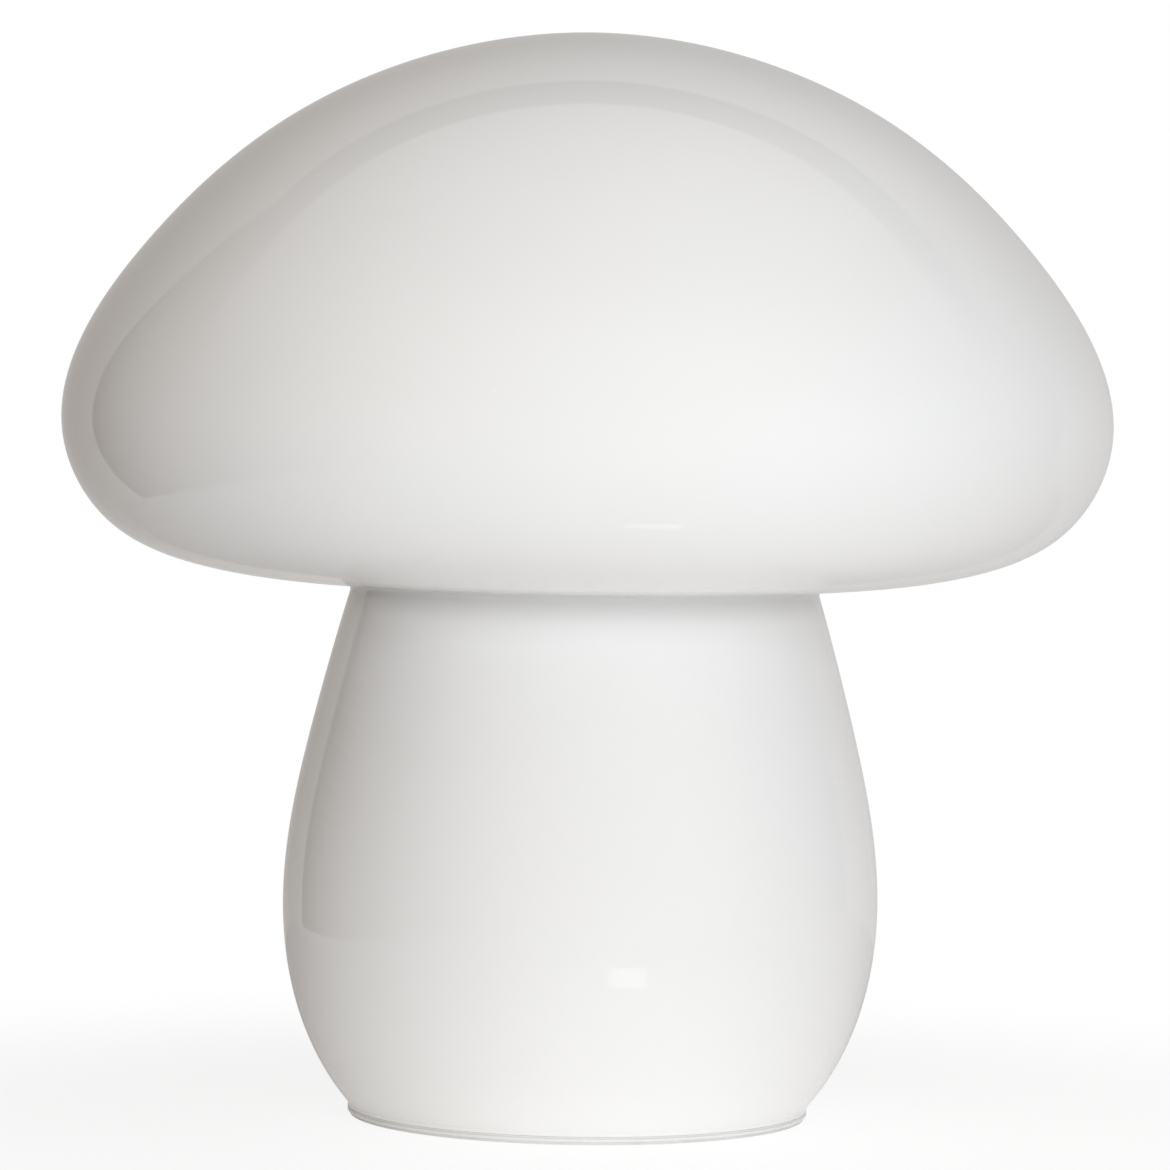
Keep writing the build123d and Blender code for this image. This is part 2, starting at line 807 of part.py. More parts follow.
for side, lead_name in ((-1, "live_lead"), (1, "neutral_lead")):
    route = [
        Vector(side * pole_offset, block_inner_face + lead_in_block, pole_height),
        Vector(side * pole_offset, block_inner_face - lead_bend_out, pole_height),
        Vector(side * lead_offset, 0, pole_height + lead_bend_up),
        Vector(side * lead_offset, 0, tube_top + lead_rise_above_tube),
        Vector(side * terminal_distance, 0, tube_top + lead_spread_height),
        Vector(side * terminal_distance, 0, terminal_bottom + lead_in_terminal),
    ]
    bend_radii = []
    for before, corner, after in zip(route, route[1:], route[2:]):
        run_in = corner - before
        run_out = after - corner
        half_turn = math.radians(run_in.get_angle(run_out) / 2)
        shorter = min(run_in.length, run_out.length)
        bend_radii.append(lead_bend_share * shorter / math.tan(half_turn))
    with BuildPart() as lead:
        with BuildLine() as lead_route:
            FilletPolyline(*route, radius=bend_radii)
        with BuildSketch(Plane(route[0], z_dir=(0, -1, 0))) as lead_end:
            Circle(lead_radius)
        sweep()
    lead.part.label = lead_name
    export_step(lead.part, f"parts/{lead_name}.step")
    print(lead_name, "bend radii", [round(radius, 1) for radius in bend_radii])

# ------------------------------------------------------------------------------- bulb

with BuildPart() as bulb_tip_contact:
    add_ring(bulb_tip, tip_height, tip_radius, 0)
    fillet(bulb_tip_contact.edges().group_by(Axis.Z)[0], tip_height / 2)
bulb_tip_contact.part.label = "bulb_tip_contact"
export_step(bulb_tip_contact.part, "parts/bulb_tip_contact.step")

with BuildPart() as bulb_insulator:
    cone_bottom = bulb_tip + tip_height
    cone_top = cone_bottom + insulator_cone
    add_spun([
        (0, cone_bottom),
        (insulator_tip_radius, cone_bottom),
        (insulator_radius, cone_top),
        (insulator_radius, cone_top + insulator_rim),
        (0, cone_top + insulator_rim),
    ])
bulb_insulator.part.label = "bulb_insulator"
export_step(bulb_insulator.part, "parts/bulb_insulator.step")

# Rolled screw shell: crests and roots at the pitch of the thread
with BuildPart() as bulb_screw_cap:
    thread_middle = (screw_major_radius + screw_root_radius) / 2
    shell_inside = screw_root_radius - screw_wall
    thread_bottom = screw_bottom + screw_bead
    thread_top = thread_bottom + screw_turns * screw_pitch
    with BuildSketch(Plane.XZ) as shell_section:
        with BuildLine():
            for turn in range(screw_turns):
                crest_start = thread_bottom + turn * screw_pitch
                ThreePointArc(
                    (thread_middle, crest_start),
                    (screw_major_radius, crest_start + screw_pitch / 4),
                    (thread_middle, crest_start + screw_pitch / 2),
                )
                ThreePointArc(
                    (thread_middle, crest_start + screw_pitch / 2),
                    (screw_root_radius, crest_start + screw_pitch * 3 / 4),
                    (thread_middle, crest_start + screw_pitch),
                )
            Polyline(
                (thread_middle, thread_top),
                (thread_middle, housing_bottom),
                (shell_inside, housing_bottom),
                (shell_inside, screw_bottom),
                (screw_root_radius, screw_bottom),
                (thread_middle, thread_bottom),
            )
        make_face()
    revolve(axis=Axis.Z)
bulb_screw_cap.part.label = "bulb_screw_cap"
export_step(bulb_screw_cap.part, "parts/bulb_screw_cap.step")

spigot_inside = shell_inside - thread_clearance - housing_wall
swell_height = housing_bottom + housing_swell_rise
rebate_floor = housing_top - globe_lip - globe_lip_gap

with BuildPart() as bulb_housing:
    with BuildSketch(Plane.XZ) as housing_section:
        with BuildLine():
            flank = Spline(
                (housing_neck_radius, housing_bottom),
                (housing_swell_radius, swell_height),
                (housing_rim_radius, housing_top),
                tangents=[(0, 1), (globe_drop, housing_rim_radius)],
                tangent_scalars=even_ends,
            )
            bore = Spline(
                (rebate_radius, rebate_floor),
                (housing_swell_radius - housing_wall, swell_height),
                (spigot_inside, housing_bottom),
                tangents=[(-globe_drop, -housing_rim_radius), (0, -1)],
                tangent_scalars=even_ends,
            )
            Polyline(flank @ 1, (rebate_radius, housing_top), bore @ 0)
            Polyline(
                bore @ 1,
                (spigot_inside, housing_bottom - housing_spigot),
                (spigot_inside + housing_wall, housing_bottom - housing_spigot),
                (spigot_inside + housing_wall, housing_bottom),
                flank @ 0,
            )
        make_face()
    revolve(axis=Axis.Z)
    add_ring(
        board_bottom - board_ledge,
        board_ledge,
        rebate_radius - board_seat_inset,
        rebate_radius - board_seat_inset - board_seat_width,
    )
bulb_housing.part.label = "bulb_housing"
export_step(bulb_housing.part, "parts/bulb_housing.step")

with BuildPart() as bulb_globe:
    lip_radius = rebate_radius - globe_lip_gap
    lip_inside = lip_radius - globe_wall
    lining_radius = globe_radius - globe_wall
    shoulder_top = housing_top + globe_wall
    lining_start = -math.degrees(math.asin((globe_centre - shoulder_top) / lining_radius))
    skin_start = -math.degrees(math.asin(globe_drop / globe_radius))
    with BuildSketch(Plane.XZ) as globe_section:
        with BuildLine():
            skin = CenterArc((0, globe_centre), globe_radius, skin_start, 90 - skin_start)
            lining = CenterArc((0, globe_centre), lining_radius, lining_start, 90 - lining_start)
            Line(skin @ 1, lining @ 1)
            Polyline(
                lining @ 0,
                (lip_inside, shoulder_top),
                (lip_inside, housing_top - globe_lip),
                (lip_radius, housing_top - globe_lip),
                (lip_radius, housing_top),
                skin @ 0,
            )
        make_face()
    revolve(axis=Axis.Z)
bulb_globe.part.label = "bulb_globe"
export_step(bulb_globe.part, "parts/bulb_globe.step")

with BuildPart() as led_board:
    add_ring(board_bottom, board_thickness, board_radius, 0)
led_board.part.label = "led_board"
export_step(led_board.part, "parts/led_board.step")

with BuildPart() as led_chips:
    with BuildSketch(Plane.XY.offset(board_bottom + board_thickness)) as chips:
        with PolarLocations(chip_circle_radius, chip_count):
            Rectangle(chip_size, chip_size)
    extrude(amount=chip_height)
led_chips.part.label = "led_chips"
export_step(led_chips.part, "parts/led_chips.step")

# Driver board standing in the neck of the housing, with its two largest components
with BuildPart() as driver_board:
    driver_bottom = housing_bottom - housing_spigot + driver_start
    with BuildSketch(Plane.XY.offset(driver_bottom)) as driver_edge:
        Rectangle(driver_width, driver_thickness)
    extrude(amount=driver_height)
    with BuildSketch(Plane.XZ.offset(driver_thickness / 2)) as capacitor:
        with Locations((0, driver_bottom + driver_height - capacitor_radius)):
            Circle(capacitor_radius)
    extrude(amount=capacitor_length)
    with BuildSketch(Plane.XZ.offset(-driver_thickness / 2)) as coil:
        with Locations((0, driver_bottom + driver_height - coil_size / 2)):
            Rectangle(coil_size, coil_size)
    extrude(amount=-coil_size)
driver_board.part.label = "driver_board"
export_step(driver_board.part, "parts/driver_board.step")

print("glass", round(glass_body.part.volume), "mm3; lamp height", crown_plane)
print("mouth radius", round(inner_foot.X, 2), "cover radius", round(cover_radius, 2))
print("bulb tip", round(bulb_tip, 2), "holder top", round(holder_top, 2))
print("bulb top", round(globe_centre + globe_radius, 2), "globe centre", round(globe_centre, 2))
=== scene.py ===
"""Mushroom table lamp: the looks of the lamp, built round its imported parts.

Metres, +Z up, the front of the lamp towards -Y.  Each operator makes one piece or one
group of like pieces, and the panel in the sidebar lists them in the order they are made.
"""

import math

import bpy
import numpy as np
from mathutils import Matrix, Vector
from mathutils.geometry import interpolate_bezier


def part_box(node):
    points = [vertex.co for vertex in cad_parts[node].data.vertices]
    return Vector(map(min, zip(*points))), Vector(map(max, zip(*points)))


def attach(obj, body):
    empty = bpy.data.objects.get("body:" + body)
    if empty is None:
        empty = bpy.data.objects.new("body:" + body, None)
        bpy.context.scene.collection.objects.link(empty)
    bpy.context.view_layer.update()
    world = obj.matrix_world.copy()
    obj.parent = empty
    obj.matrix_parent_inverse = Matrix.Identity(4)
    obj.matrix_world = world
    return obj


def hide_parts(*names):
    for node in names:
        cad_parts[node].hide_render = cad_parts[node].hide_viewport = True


bl_info = {
    "name": "Mushroom Table Lamp",
    "version": (1, 0, 0),
    "blender": (4, 5, 0),
    "location": "View3D > Sidebar > Lamp",
    "description": "Dresses the parts of an opal glass mushroom lamp",
    "category": "Object",
}

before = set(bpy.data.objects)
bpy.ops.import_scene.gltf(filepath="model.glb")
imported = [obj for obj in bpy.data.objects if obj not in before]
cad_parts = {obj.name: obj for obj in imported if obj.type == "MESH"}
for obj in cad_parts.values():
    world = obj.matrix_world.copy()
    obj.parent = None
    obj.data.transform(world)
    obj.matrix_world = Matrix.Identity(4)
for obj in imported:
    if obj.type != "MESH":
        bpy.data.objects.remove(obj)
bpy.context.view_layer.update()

MM = 0.001
FULL_TURN = 2 * math.pi
FINISH_NAME = "{}_finish"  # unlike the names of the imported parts' plain materials
TOUCH = 0.001 * MM  # the finest step to which meshes are cut and joined
EASE_SHARE = 0.6  # of the way to the corner, which makes an eased corner round
# INNER_SHARE sets where the painted shade in the crease under the cap is full.
INNER_SHARE = 0.92  # of the crease's radius, where the crease is full
RING_STRETCH = 0.04  # scale of the noise across the axis, which draws it out into rings


# ------------------------------------------------------------------------- settings

def length(label, text, millimetres):
    """A length property, given here in millimetres and kept in metres."""
    return bpy.props.FloatProperty(
        name=label, description=text, default=millimetres * MM, min=0.0, unit="LENGTH"
    )


def position(label, text, right, back, up):
    """A place from the foot of the lamp's axis, given here in millimetres."""
    return bpy.props.FloatVectorProperty(
        name=label,
        description=text,
        default=(right * MM, back * MM, up * MM),
        subtype="TRANSLATION",
        unit="LENGTH",
    )


def angle(label, text, degrees):
    """An angle property, given here in degrees."""
    return bpy.props.FloatProperty(
        name=label, description=text, default=math.radians(degrees), subtype="ANGLE"
    )


def number(label, text, value):
    """A plain number property."""
    return bpy.props.FloatProperty(name=label, description=text, default=value)


def count(label, text, value):
    """A whole number property."""
    return bpy.props.IntProperty(name=label, description=text, default=value, min=1)


def colour(label, text, red, green, blue):
    """A colour property."""
    return bpy.props.FloatVectorProperty(
        name=label,
        description=text,
        default=(red, green, blue),
        size=3,
        min=0.0,
        max=1.0,
        subtype="COLOR",
    )


class GlassSettings(bpy.types.PropertyGroup):
    """The blown glass: radius at each point of its outline, and the climb up to it."""

    wall: length("Wall", "Thickness of the glass", 4.0)
    foot_radius: length("Foot radius", "Outside radius of the ground foot", 63.8)
    land_height: length("Land height", "Height of the ground band at the foot", 1.2)
    edge_ease: length("Edge ease", "Rounding of the ground edges", 0.35)
    heel_lean: angle("Heel lean", "Lean of the wall where it leaves the foot", 41.0)
    heel_radius: length("Heel radius", "Radius just above the foot", 76.1)
    heel_climb: length("Heel climb", "From the foot to the heel", 21.7)
    belly_radius: length("Belly radius", "Widest radius of the stem", 82.5)
    belly_climb: length("Belly climb", "From the heel to the belly", 33.1)
    mid_stem_radius: length("Mid stem radius", "Radius halfway up the stem", 74.75)
    mid_stem_climb: length("Mid stem climb", "From the belly to the mid stem", 52.5)
    neck_radius: length("Neck radius", "Narrowest radius, under the cap", 65.0)
    neck_climb: length("Neck climb", "From the mid stem to the neck", 36.2)
    neck_fillet: length("Neck fillet", "Radius of the hollow under the cap", 2.5)
    neck_lean: angle("Neck lean", "Lean of the stem where it meets the hollow", 16.5)
    underside_radius: length("Underside radius", "Radius on the cap's underside", 104.7)
    underside_climb: length("Underside climb", "From the neck to the underside", 6.0)
    lower_rim_radius: length("Lower rim radius", "Radius just below the rim", 132.7)
    lower_rim_climb: length("Lower rim climb", "From the underside to there", 12.7)
    rim_radius: length("Rim radius", "Radius at the rim of the cap", 144.5)
    rim_climb: length("Rim climb", "From the lower rim to the rim", 21.2)
    lower_shoulder_radius: length("Lower shoulder radius", "Radius above the rim", 121.6)
    lower_shoulder_climb: length("Lower shoulder climb", "From the rim to there", 55.9)
    upper_shoulder_radius: length("Upper shoulder radius", "Radius near the top", 74.9)
    upper_shoulder_climb: length("Upper shoulder climb", "Up to the upper shoulder", 39.2)
    # Painted shade: the crease settings darken the glass's colour where the neck meets the cap.
    crease_height: length("Crease height", "Top of the shaded crease under the cap", 146.8)
    crease_fade: length("Crease fade", "How far down the crease fades out", 8.6)
    crease_radius: length("Crease radius", "The crease ends out here on the underside", 70.5)
    crease_tone: number("Crease tone", "Share of the glass's colour left in it", 0.82)
    outline_step: length("Outline step", "Distance between rings of the mesh", 2.4)
    segments: count("Segments", "Divisions round the glass", 248)
    notch_half_width: length("Notch half width", "Half the cord notch in the foot", 4.2)
    opal: colour("Opal", "Colour of the opal glass", 0.92, 0.915, 0.905)


class RingSettings(bpy.types.PropertyGroup):
    """The gasket and the foot pad."""

    gasket_bore: length("Gasket bore", "Inner radius of the gasket", 60.78)
    gasket_swell: length("Gasket swell", "How far its edge is squeezed out", 0.65)
    gasket_ease: length("Gasket ease", "Rounding of its edges", 0.09)
    pad_bore: length("Pad bore", "Inner radius of the foot pad", 53.3)
    pad_swell: length("Pad swell", "How far its edge is squeezed out", 1.3)
    pad_ease: length("Pad ease", "Rounding of its edges", 0.15)
    segments: count("Segments", "Divisions round the rings", 192)


class ThreadSettings(bpy.types.PropertyGroup):
    """The rolled thread of the bulb's screw cap and the cut thread of the stand tube."""

    cap_pitch: length("Cap pitch", "Pitch of the bulb's rolled thread", 3.629)
    cap_depth: length("Cap thread depth", "From its crests to its roots", 0.9)
    cap_wall: length("Cap wall", "Thickness of the rolled brass", 0.45)
    cap_bead: length("Cap bead", "Plain foot below the thread", 0.8)
    cap_turns: count("Cap turns", "Turns of the rolled thread", 4)
    cap_bends: count("Cap bends", "Straight runs in one wave of its outline", 8)
    cap_steps: count("Cap steps", "Divisions of one turn", 72)
    tube_pitch: length("Tube pitch", "Pitch of the stand tube's thread", 1.0)
    tube_depth: length("Tube thread depth", "Depth of the stand tube's thread", 0.4)
    tube_bore: length("Tube bore", "Bore radius of the stand tube", 4.0)
    tube_steps: count("Tube steps", "Divisions of one turn", 48)


class StudioSettings(bpy.types.PropertyGroup):
    """The camera and the studio round the lamp."""

    camera_distance: length("Camera distance", "From the lamp's axis", 1750.0)
    camera_height: length("Camera height", "Above the table", 234.5)
    camera_tilt: angle("Camera tilt", "Looking down", 2.85)
    camera_roll: angle("Camera roll", "Turn about the line of sight", 0.881)
    lens: number("Lens", "Focal length in millimetres on a 36 mm frame", 194.5)
    table_size: length("Table size", "Side of the table top", 1100.0)
    table_left: length("Table left", "From the lamp's axis to the left edge", 360.0)
    table_back: length("Table back", "From the lamp's axis to the back edge", 360.0)
    table_colour: colour("Table colour", "Paper under the lamp", 0.80, 0.80, 0.80)
    # Painted light: the glow on the right and the pool at the foot are light that the table
    # emits, though it is no lamp.
    right_glow: colour("Right glow", "Light through the paper on the right", 0.14, 0.13, 0.115)
    glow_spread: length("Glow spread", "From the middle to the full right glow", 300.0)
    near_glow: colour("Near glow", "Pool of light at the foot", 0.27, 0.275, 0.28)
    pool_reach: length("Pool reach", "Radius of the pool of light", 280.0)
    pool_right: length("Pool right", "From the axis to the middle of the pool", 20.0)
    pool_front: length("Pool front", "From the axis forward to its middle", 60.0)
    shadow_start: length("Shadow start", "From here on the shadow fades out", 90.0)
    shadow_end: length("Shadow end", "From here on the table is plain white", 330.0)
    shadow_white: number("Shadow white", "Share of plain white under the lamp", 0.8)
    left_light: colour("Left light", "The room on the left", 0.04, 0.01, 0.0)
    right_light: colour("Right light", "The room on the right", 0.47, 0.48, 0.52)
    top_light: colour("Top light", "The ceiling", 0.625, 0.62, 0.62)
    front_light: colour("Front light", "The room behind the camera", 0.48, 0.435, 0.35)
    backdrop_left: colour("Backdrop left", "Paper behind the lamp, left", 0.3, 0.28, 0.265)
    backdrop_right: colour("Backdrop right", "Paper behind the lamp, right", 0.51, 0.505, 0.5)
    backdrop_low: colour("Backdrop low", "Added towards its foot", 0.2, 0.195, 0.19)
    backdrop_west: number("Backdrop west", "Its left edge, in depths to the side", -0.95)
    backdrop_east: number("Backdrop east", "Its right edge, in depths to the side", 1.45)
    backdrop_high: number("Backdrop high", "Its top edge, in depths up", 1.13)
    backdrop_change: number("Backdrop change", "Half the change from left to right", 0.6)
    backdrop_turn: number("Backdrop turn", "Least depth at which it shows", 0.05)
    low_start: number("Low start", "The low light begins here, in depths up", 0.6)
    low_full: number("Low full", "The low light is full here, in depths up", -0.1)
    ceiling_start: number("Ceiling start", "Sine of the height where it begins", 0.4)
    ceiling_edge: angle("Ceiling edge", "Height of the ceiling's far edge", 58.8)
    edge_blur: number("Edge blur", "Softness of these edges", 0.03)
    key_colour: colour("Key colour", "The wide lamp in front", 0.84, 0.91, 1.0)
    key_power: number("Key power", "Watts of the wide lamp in front", 20.4)
    key_place: position("Key place", "Middle of the wide lamp", 140.0, -2000.0, 270.0)
    key_side: length("Key side", "Side of the wide lamp", 1300.0)
    low_power: number("Low power", "Watts of the small low lamp", 0.0022)
    low_place: position("Low place", "Middle of the small low lamp", 44.0, -170.0, 14.2)
    low_width: length("Low width", "Width of the small low lamp", 36.0)
    low_height: length("Low height", "Height of the small low lamp", 17.0)
    lamp_aim: length("Lamp aim", "Height on the axis that the lamps face", 150.0)


def settings(name):
    """A group of settings of the scene."""
    return getattr(bpy.context.scene, name)


# ------------------------------------------------------------------ shared modelling

def deselect():
    """Leave edit mode and select nothing."""
    if bpy.context.object and bpy.context.object.mode != "OBJECT":
        bpy.ops.object.mode_set(mode="OBJECT")
    bpy.ops.object.select_all(action="DESELECT")


def pick(*pieces):
    """Select these pieces alone, the first of them active."""
    deselect()
    for piece in pieces:
        piece.select_set(True)
    bpy.context.view_layer.objects.active = pieces[0]


def apply_modifiers(piece):
    """Make the piece's modifiers part of its mesh."""
    pick(piece)
    for modifier in list(piece.modifiers):
        bpy.ops.object.modifier_apply(modifier=modifier.name)


def settle(piece):
    """Put the piece's place into its mesh, so that its object is at the origin."""
    pick(piece)
    bpy.ops.object.transform_apply(location=True, rotation=True, scale=True)


def draw_line(name, points):
    """A new piece that is one run of edges through (radius, height) points over +X."""
    deselect()
    radius, height = points[0]
    bpy.ops.mesh.primitive_plane_add(size=MM, location=(0, 0, 0))
    piece = bpy.context.object
    piece.name = name
    piece.data.name = name
    bpy.ops.object.mode_set(mode="EDIT")
    bpy.ops.mesh.select_all(action="SELECT")
    bpy.ops.mesh.merge(type="CENTER")
    bpy.ops.transform.translate(value=(radius, 0, height))
    for previous, point in zip(points, points[1:]):
        step = (point[0] - previous[0], 0, point[1] - previous[1])
        bpy.ops.mesh.extrude_region_move(TRANSFORM_OT_translate={"value": step})
    bpy.ops.object.mode_set(mode="OBJECT")
    return piece


def spin_round(piece, segments):
    """Spin the piece's line a full turn about Z, and close its seam and its poles."""
    pick(piece)
    bpy.ops.object.mode_set(mode="EDIT")
    bpy.ops.mesh.select_all(action="SELECT")
    bpy.ops.mesh.spin(steps=segments, angle=FULL_TURN, center=(0, 0, 0), axis=(0, 0, 1))
    bpy.ops.mesh.select_all(action="SELECT")
    bpy.ops.mesh.remove_doubles(threshold=10 * TOUCH)
    bpy.ops.mesh.normals_make_consistent(inside=False)
    bpy.ops.object.mode_set(mode="OBJECT")


def smooth_run(knots, leaving, arriving, step):
    """Points on the smoothest curve through the knots, with the given end directions."""
    knots = [Vector(knot) for knot in knots]
    spans = np.array([(b - a).length for a, b in zip(knots, knots[1:])])
    places = np.array(knots)
    chords = np.diff(places, axis=0) / spans[:, None]
    size = len(knots)
    system = np.eye(size)
    wanted = np.zeros((size, 2))
    wanted[0] = Vector(leaving).normalized()
    wanted[-1] = Vector(arriving).normalized()
    for row in range(1, size - 1):
        before, after = spans[row - 1], spans[row]
        system[row, row - 1:row + 2] = after, 2 * (before + after), before
        wanted[row] = 3 * (after * chords[row - 1] + before * chords[row])
    slopes = [Vector(slope) for slope in np.linalg.solve(system, wanted)]
    points = [knots[0]]
    for start, end, leave, arrive, span in zip(knots, knots[1:], slopes, slopes[1:], spans):
        reach = float(span) / 3
        pieces = max(2, round(float(span) / step))
        handles = start + leave * reach, end - arrive * reach
        points += interpolate_bezier(start, *handles, end, pieces + 1)[1:]
    return points


def arc_run(centre, radius, start, end, steps=12):
    """Points on an arc, angles in radians."""
    turns = [start + (end - start) * step / steps for step in range(steps + 1)]
    return [Vector(centre) + radius * Vector((math.cos(t), math.sin(t))) for t in turns]


def eased_corner(before, corner, after, ease, points=5):
    """A corner rounded off: points from one side of it to the other."""
    start = corner + (before - corner).normalized() * ease
    end = corner + (after - corner).normalized() * ease
    handles = start.lerp(corner, EASE_SHARE), end.lerp(corner, EASE_SHARE)
    return interpolate_bezier(start, *handles, end, points)


def inside_of(points, wall):
    """The points of a line moved one wall to its left."""
    moved = []
    for place, point in enumerate(points):
        ahead = points[min(place + 1, len(points) - 1)]
        behind = points[max(place - 1, 0)]
        along = (ahead - behind).normalized()
        moved.append(point + Vector((-along.y, along.x)) * wall)
    return moved


def put_in_place(piece, node, maker, body, crisp):
    """Shade a piece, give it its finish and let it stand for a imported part.

    Edges sharper than crisp, in degrees, stay hard.
    """
    pick(piece)
    bpy.ops.object.shade_smooth_by_angle(angle=math.radians(crisp))
    piece.data.materials.append(finish_of(maker))
    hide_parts(node)
    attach(piece, body)


# -------------------------------------------------------------------- shared materials

NUMBER = "NodeSocketFloat"
COLOUR = "NodeSocketColor"
VECTOR = "NodeSocketVector"


def rgba(red, green, blue):
    """A colour with its alpha."""
    return (red, green, blue, 1.0)


def toned(tint, red, green, blue):
    """A colour dimmed by a share for each of its parts."""
    return rgba(tint[0] * red, tint[1] * green, tint[2] * blue)


BLACK = rgba(0.0, 0.0, 0.0)
WHITE = rgba(1.0, 1.0, 1.0)


class Graph:
    """The nodes of one material, world or group, with short ways to add to them."""

    def __init__(self, tree):
        self.nodes = tree.nodes
        self.links = tree.links

    def fill(self, sockets, values):
        """Give sockets their values, each a plain one or another node's output."""
        for label, value in values.items():
            if isinstance(value, bpy.types.NodeSocket):
                self.links.new(value, sockets[label])
            else:
                sockets[label].default_value = value

    def add(self, kind, values, **traits):
        """Add a node with its traits and its inputs' values: its outputs."""
        node = self.nodes.new("ShaderNode" + kind)
        for trait, value in traits.items():
            setattr(node, trait, value)
        self.fill(node.inputs, values)
        return node.outputs

    def group(self, name, values):
        """Place a shared group, with its own values: its outputs."""
        return self.add("Group", values, node_tree=bpy.data.node_groups[name])

    def place(self):
        """The place on the piece, in its own coordinates."""
        return self.add("TexCoord", {})["Object"]

    def distance_from(self, point, place=None):
        """How far a place lies from a point."""
        values = {0: place or self.place(), 1: point}
        return self.add("VectorMath", values, operation="DISTANCE")["Value"]

    def combine(self, operation, first, second):
        """Two numbers combined."""
        return self.add("Math", {0: first, 1: second}, operation=operation)["Value"]

    def ramp(self, source, start, end, low=0.0, high=1.0, shape="SMOOTHSTEP"):
        """From low to high as the source goes from start to end."""
        values = {"Value": source, "From Min": start, "From Max": end}
        values.update({"To Min": low, "To Max": high})
        return self.add("MapRange", values, interpolation_type=shape)["Result"]

    def mix(self, share, first, second, blend="MIX"):
        """The first colour with a share of the second mixed or added in."""
        values = {"Factor": share, "A": first, "B": second}
        return self.add("Mix", values, data_type="RGBA", blend_type=blend)["Result"]

    def noise(self, scale, detail, place=None, roughness=0.5):
        """Cloudy noise over the piece."""
        values = {
            "Vector": place or self.place(),
            "Scale": scale,
            "Detail": detail,
            "Roughness": roughness,
        }
        return self.add("TexNoise", values)["Fac"]

    def bump(self, height, strength, distance, **under):
        """The normal of a bumped surface, on top of another bump if one is given."""
        values = {"Height": height, "Strength": strength, "Distance": distance, **under}
        return self.add("Bump", values)["Normal"]


def new_group(name, inputs, outputs):
    """A shader node group: its graph, the values it is given and those it makes."""
    tree = bpy.data.node_groups.new(name, "ShaderNodeTree")
    for label, kind, value in inputs:
        socket = tree.interface.new_socket(label, in_out="INPUT", socket_type=kind)
        socket.default_value = value
    for label, kind in outputs:
        tree.interface.new_socket(label, in_out="OUTPUT", socket_type=kind)
    given = tree.nodes.new("NodeGroupInput").outputs
    made = tree.nodes.new("NodeGroupOutput").inputs
    return Graph(tree), given, made


def make_grain_group():
    """Fine unevenness of a moulded, cast or painted skin: a roughness and a normal."""
    graph, given, made = new_group(
        "skin_grain",
        [
            ("Grains per metre", NUMBER, 900.0),
            ("Smoothest", NUMBER, 0.3),
            ("Roughest", NUMBER, 0.5),
            ("Depth", NUMBER, 0.1),
        ],
        [("Roughness", NUMBER), ("Normal", VECTOR)],
    )
    grain = graph.noise(given["Grains per metre"], detail=3.0)
    span = {"low": given["Smoothest"], "high": given["Roughest"], "shape": "LINEAR"}
    roughness = graph.ramp(grain, start=0.3, end=0.7, **span)
    normal = graph.bump(grain, given["Depth"], distance=0.1 * MM)
    graph.fill(made, {"Roughness": roughness, "Normal": normal})


def make_mottle_group():
    """Slow change of tone over a piece: handling marks, stain and faded patches."""
    graph, given, made = new_group(
        "mottle",
        [
            ("Patches per metre", NUMBER, 40.0),
            ("Clean", COLOUR, WHITE),
            ("Soiled", COLOUR, rgba(0.8, 0.8, 0.8)),
            ("Amount", NUMBER, 0.5),
        ],
        [("Colour", COLOUR)],
    )
    patches = graph.noise(given["Patches per metre"], detail=6.0, roughness=0.62)
    mask = graph.ramp(patches, start=0.38, end=0.72)
    share = graph.combine("MULTIPLY", mask, given["Amount"])
    graph.fill(made, {"Colour": graph.mix(share, given["Clean"], given["Soiled"])})


def make_tooling_group():
    """Fine rings left by turning or drawing about Z: a mask and a normal."""
    graph, given, made = new_group(
        "tool_rings",
        [("Rings per metre", NUMBER, 3000.0), ("Depth", NUMBER, 0.15)],
        [("Mask", NUMBER), ("Normal", VECTOR)],
    )
    stretched = {"Vector": graph.place(), "Scale": (RING_STRETCH, RING_STRETCH, 1.0)}
    along = graph.add("Mapping", stretched)
    rings = graph.noise(given["Rings per metre"], detail=2.0, place=along["Vector"])
    normal = graph.bump(rings, given["Depth"], distance=0.05 * MM)
    graph.fill(made, {"Mask": rings, "Normal": normal})


def new_material():
    """A material, the graph of its nodes and its Principled shader."""
    made = bpy.data.materials.new("finish")
    made.use_nodes = True
    graph = Graph(made.node_tree)
    return made, graph, graph.nodes["Principled BSDF"]


def finish_of(maker):
    """The material that a finish function makes, made once and named after it."""
    name = FINISH_NAME.format(maker.__name__)
    if name not in bpy.data.materials:
        maker().name = name
    return bpy.data.materials[name]


def skin(clean, soiled, smooth, rough, grains=900.0, depth=0.1, amount=0.5, own=None):
    """Mottled colour on a grained surface, with the shader's own constants if given."""
    made, graph, shader = new_material()
    tone = graph.group("mottle", {"Clean": clean, "Soiled": soiled, "Amount": amount})
    grain = graph.group(
        "skin_grain",
        {"Grains per metre": grains, "Smoothest": smooth, "Roughest": rough, "Depth": depth},
    )
    values = {
        "Base Color": tone["Colour"],
        "Roughness": grain["Roughness"],
        "Normal": grain["Normal"],
    }
    graph.fill(shader.inputs, {**values, **(own or {})})
    return made


def worked_metal(clean, soiled, smooth, rough):
    """A bare metal with the marks of its tool."""
    made, graph, shader = new_material()
    tone = graph.group(
        "mottle", {"Patches per metre": 150.0, "Clean": clean, "Soiled": soiled, "Amount": 0.6}
    )
    tooling = graph.group("tool_rings", {})
    values = {
        "Base Color": tone["Colour"],
        "Roughness": graph.ramp(tooling["Mask"], 0.0, 1.0, smooth, rough, shape="LINEAR"),
        "Normal": tooling["Normal"],
        "Metallic": 1.0,
    }
    graph.fill(shader.inputs, values)
    return made


# --------------------------------------------------------------------------- the finishes

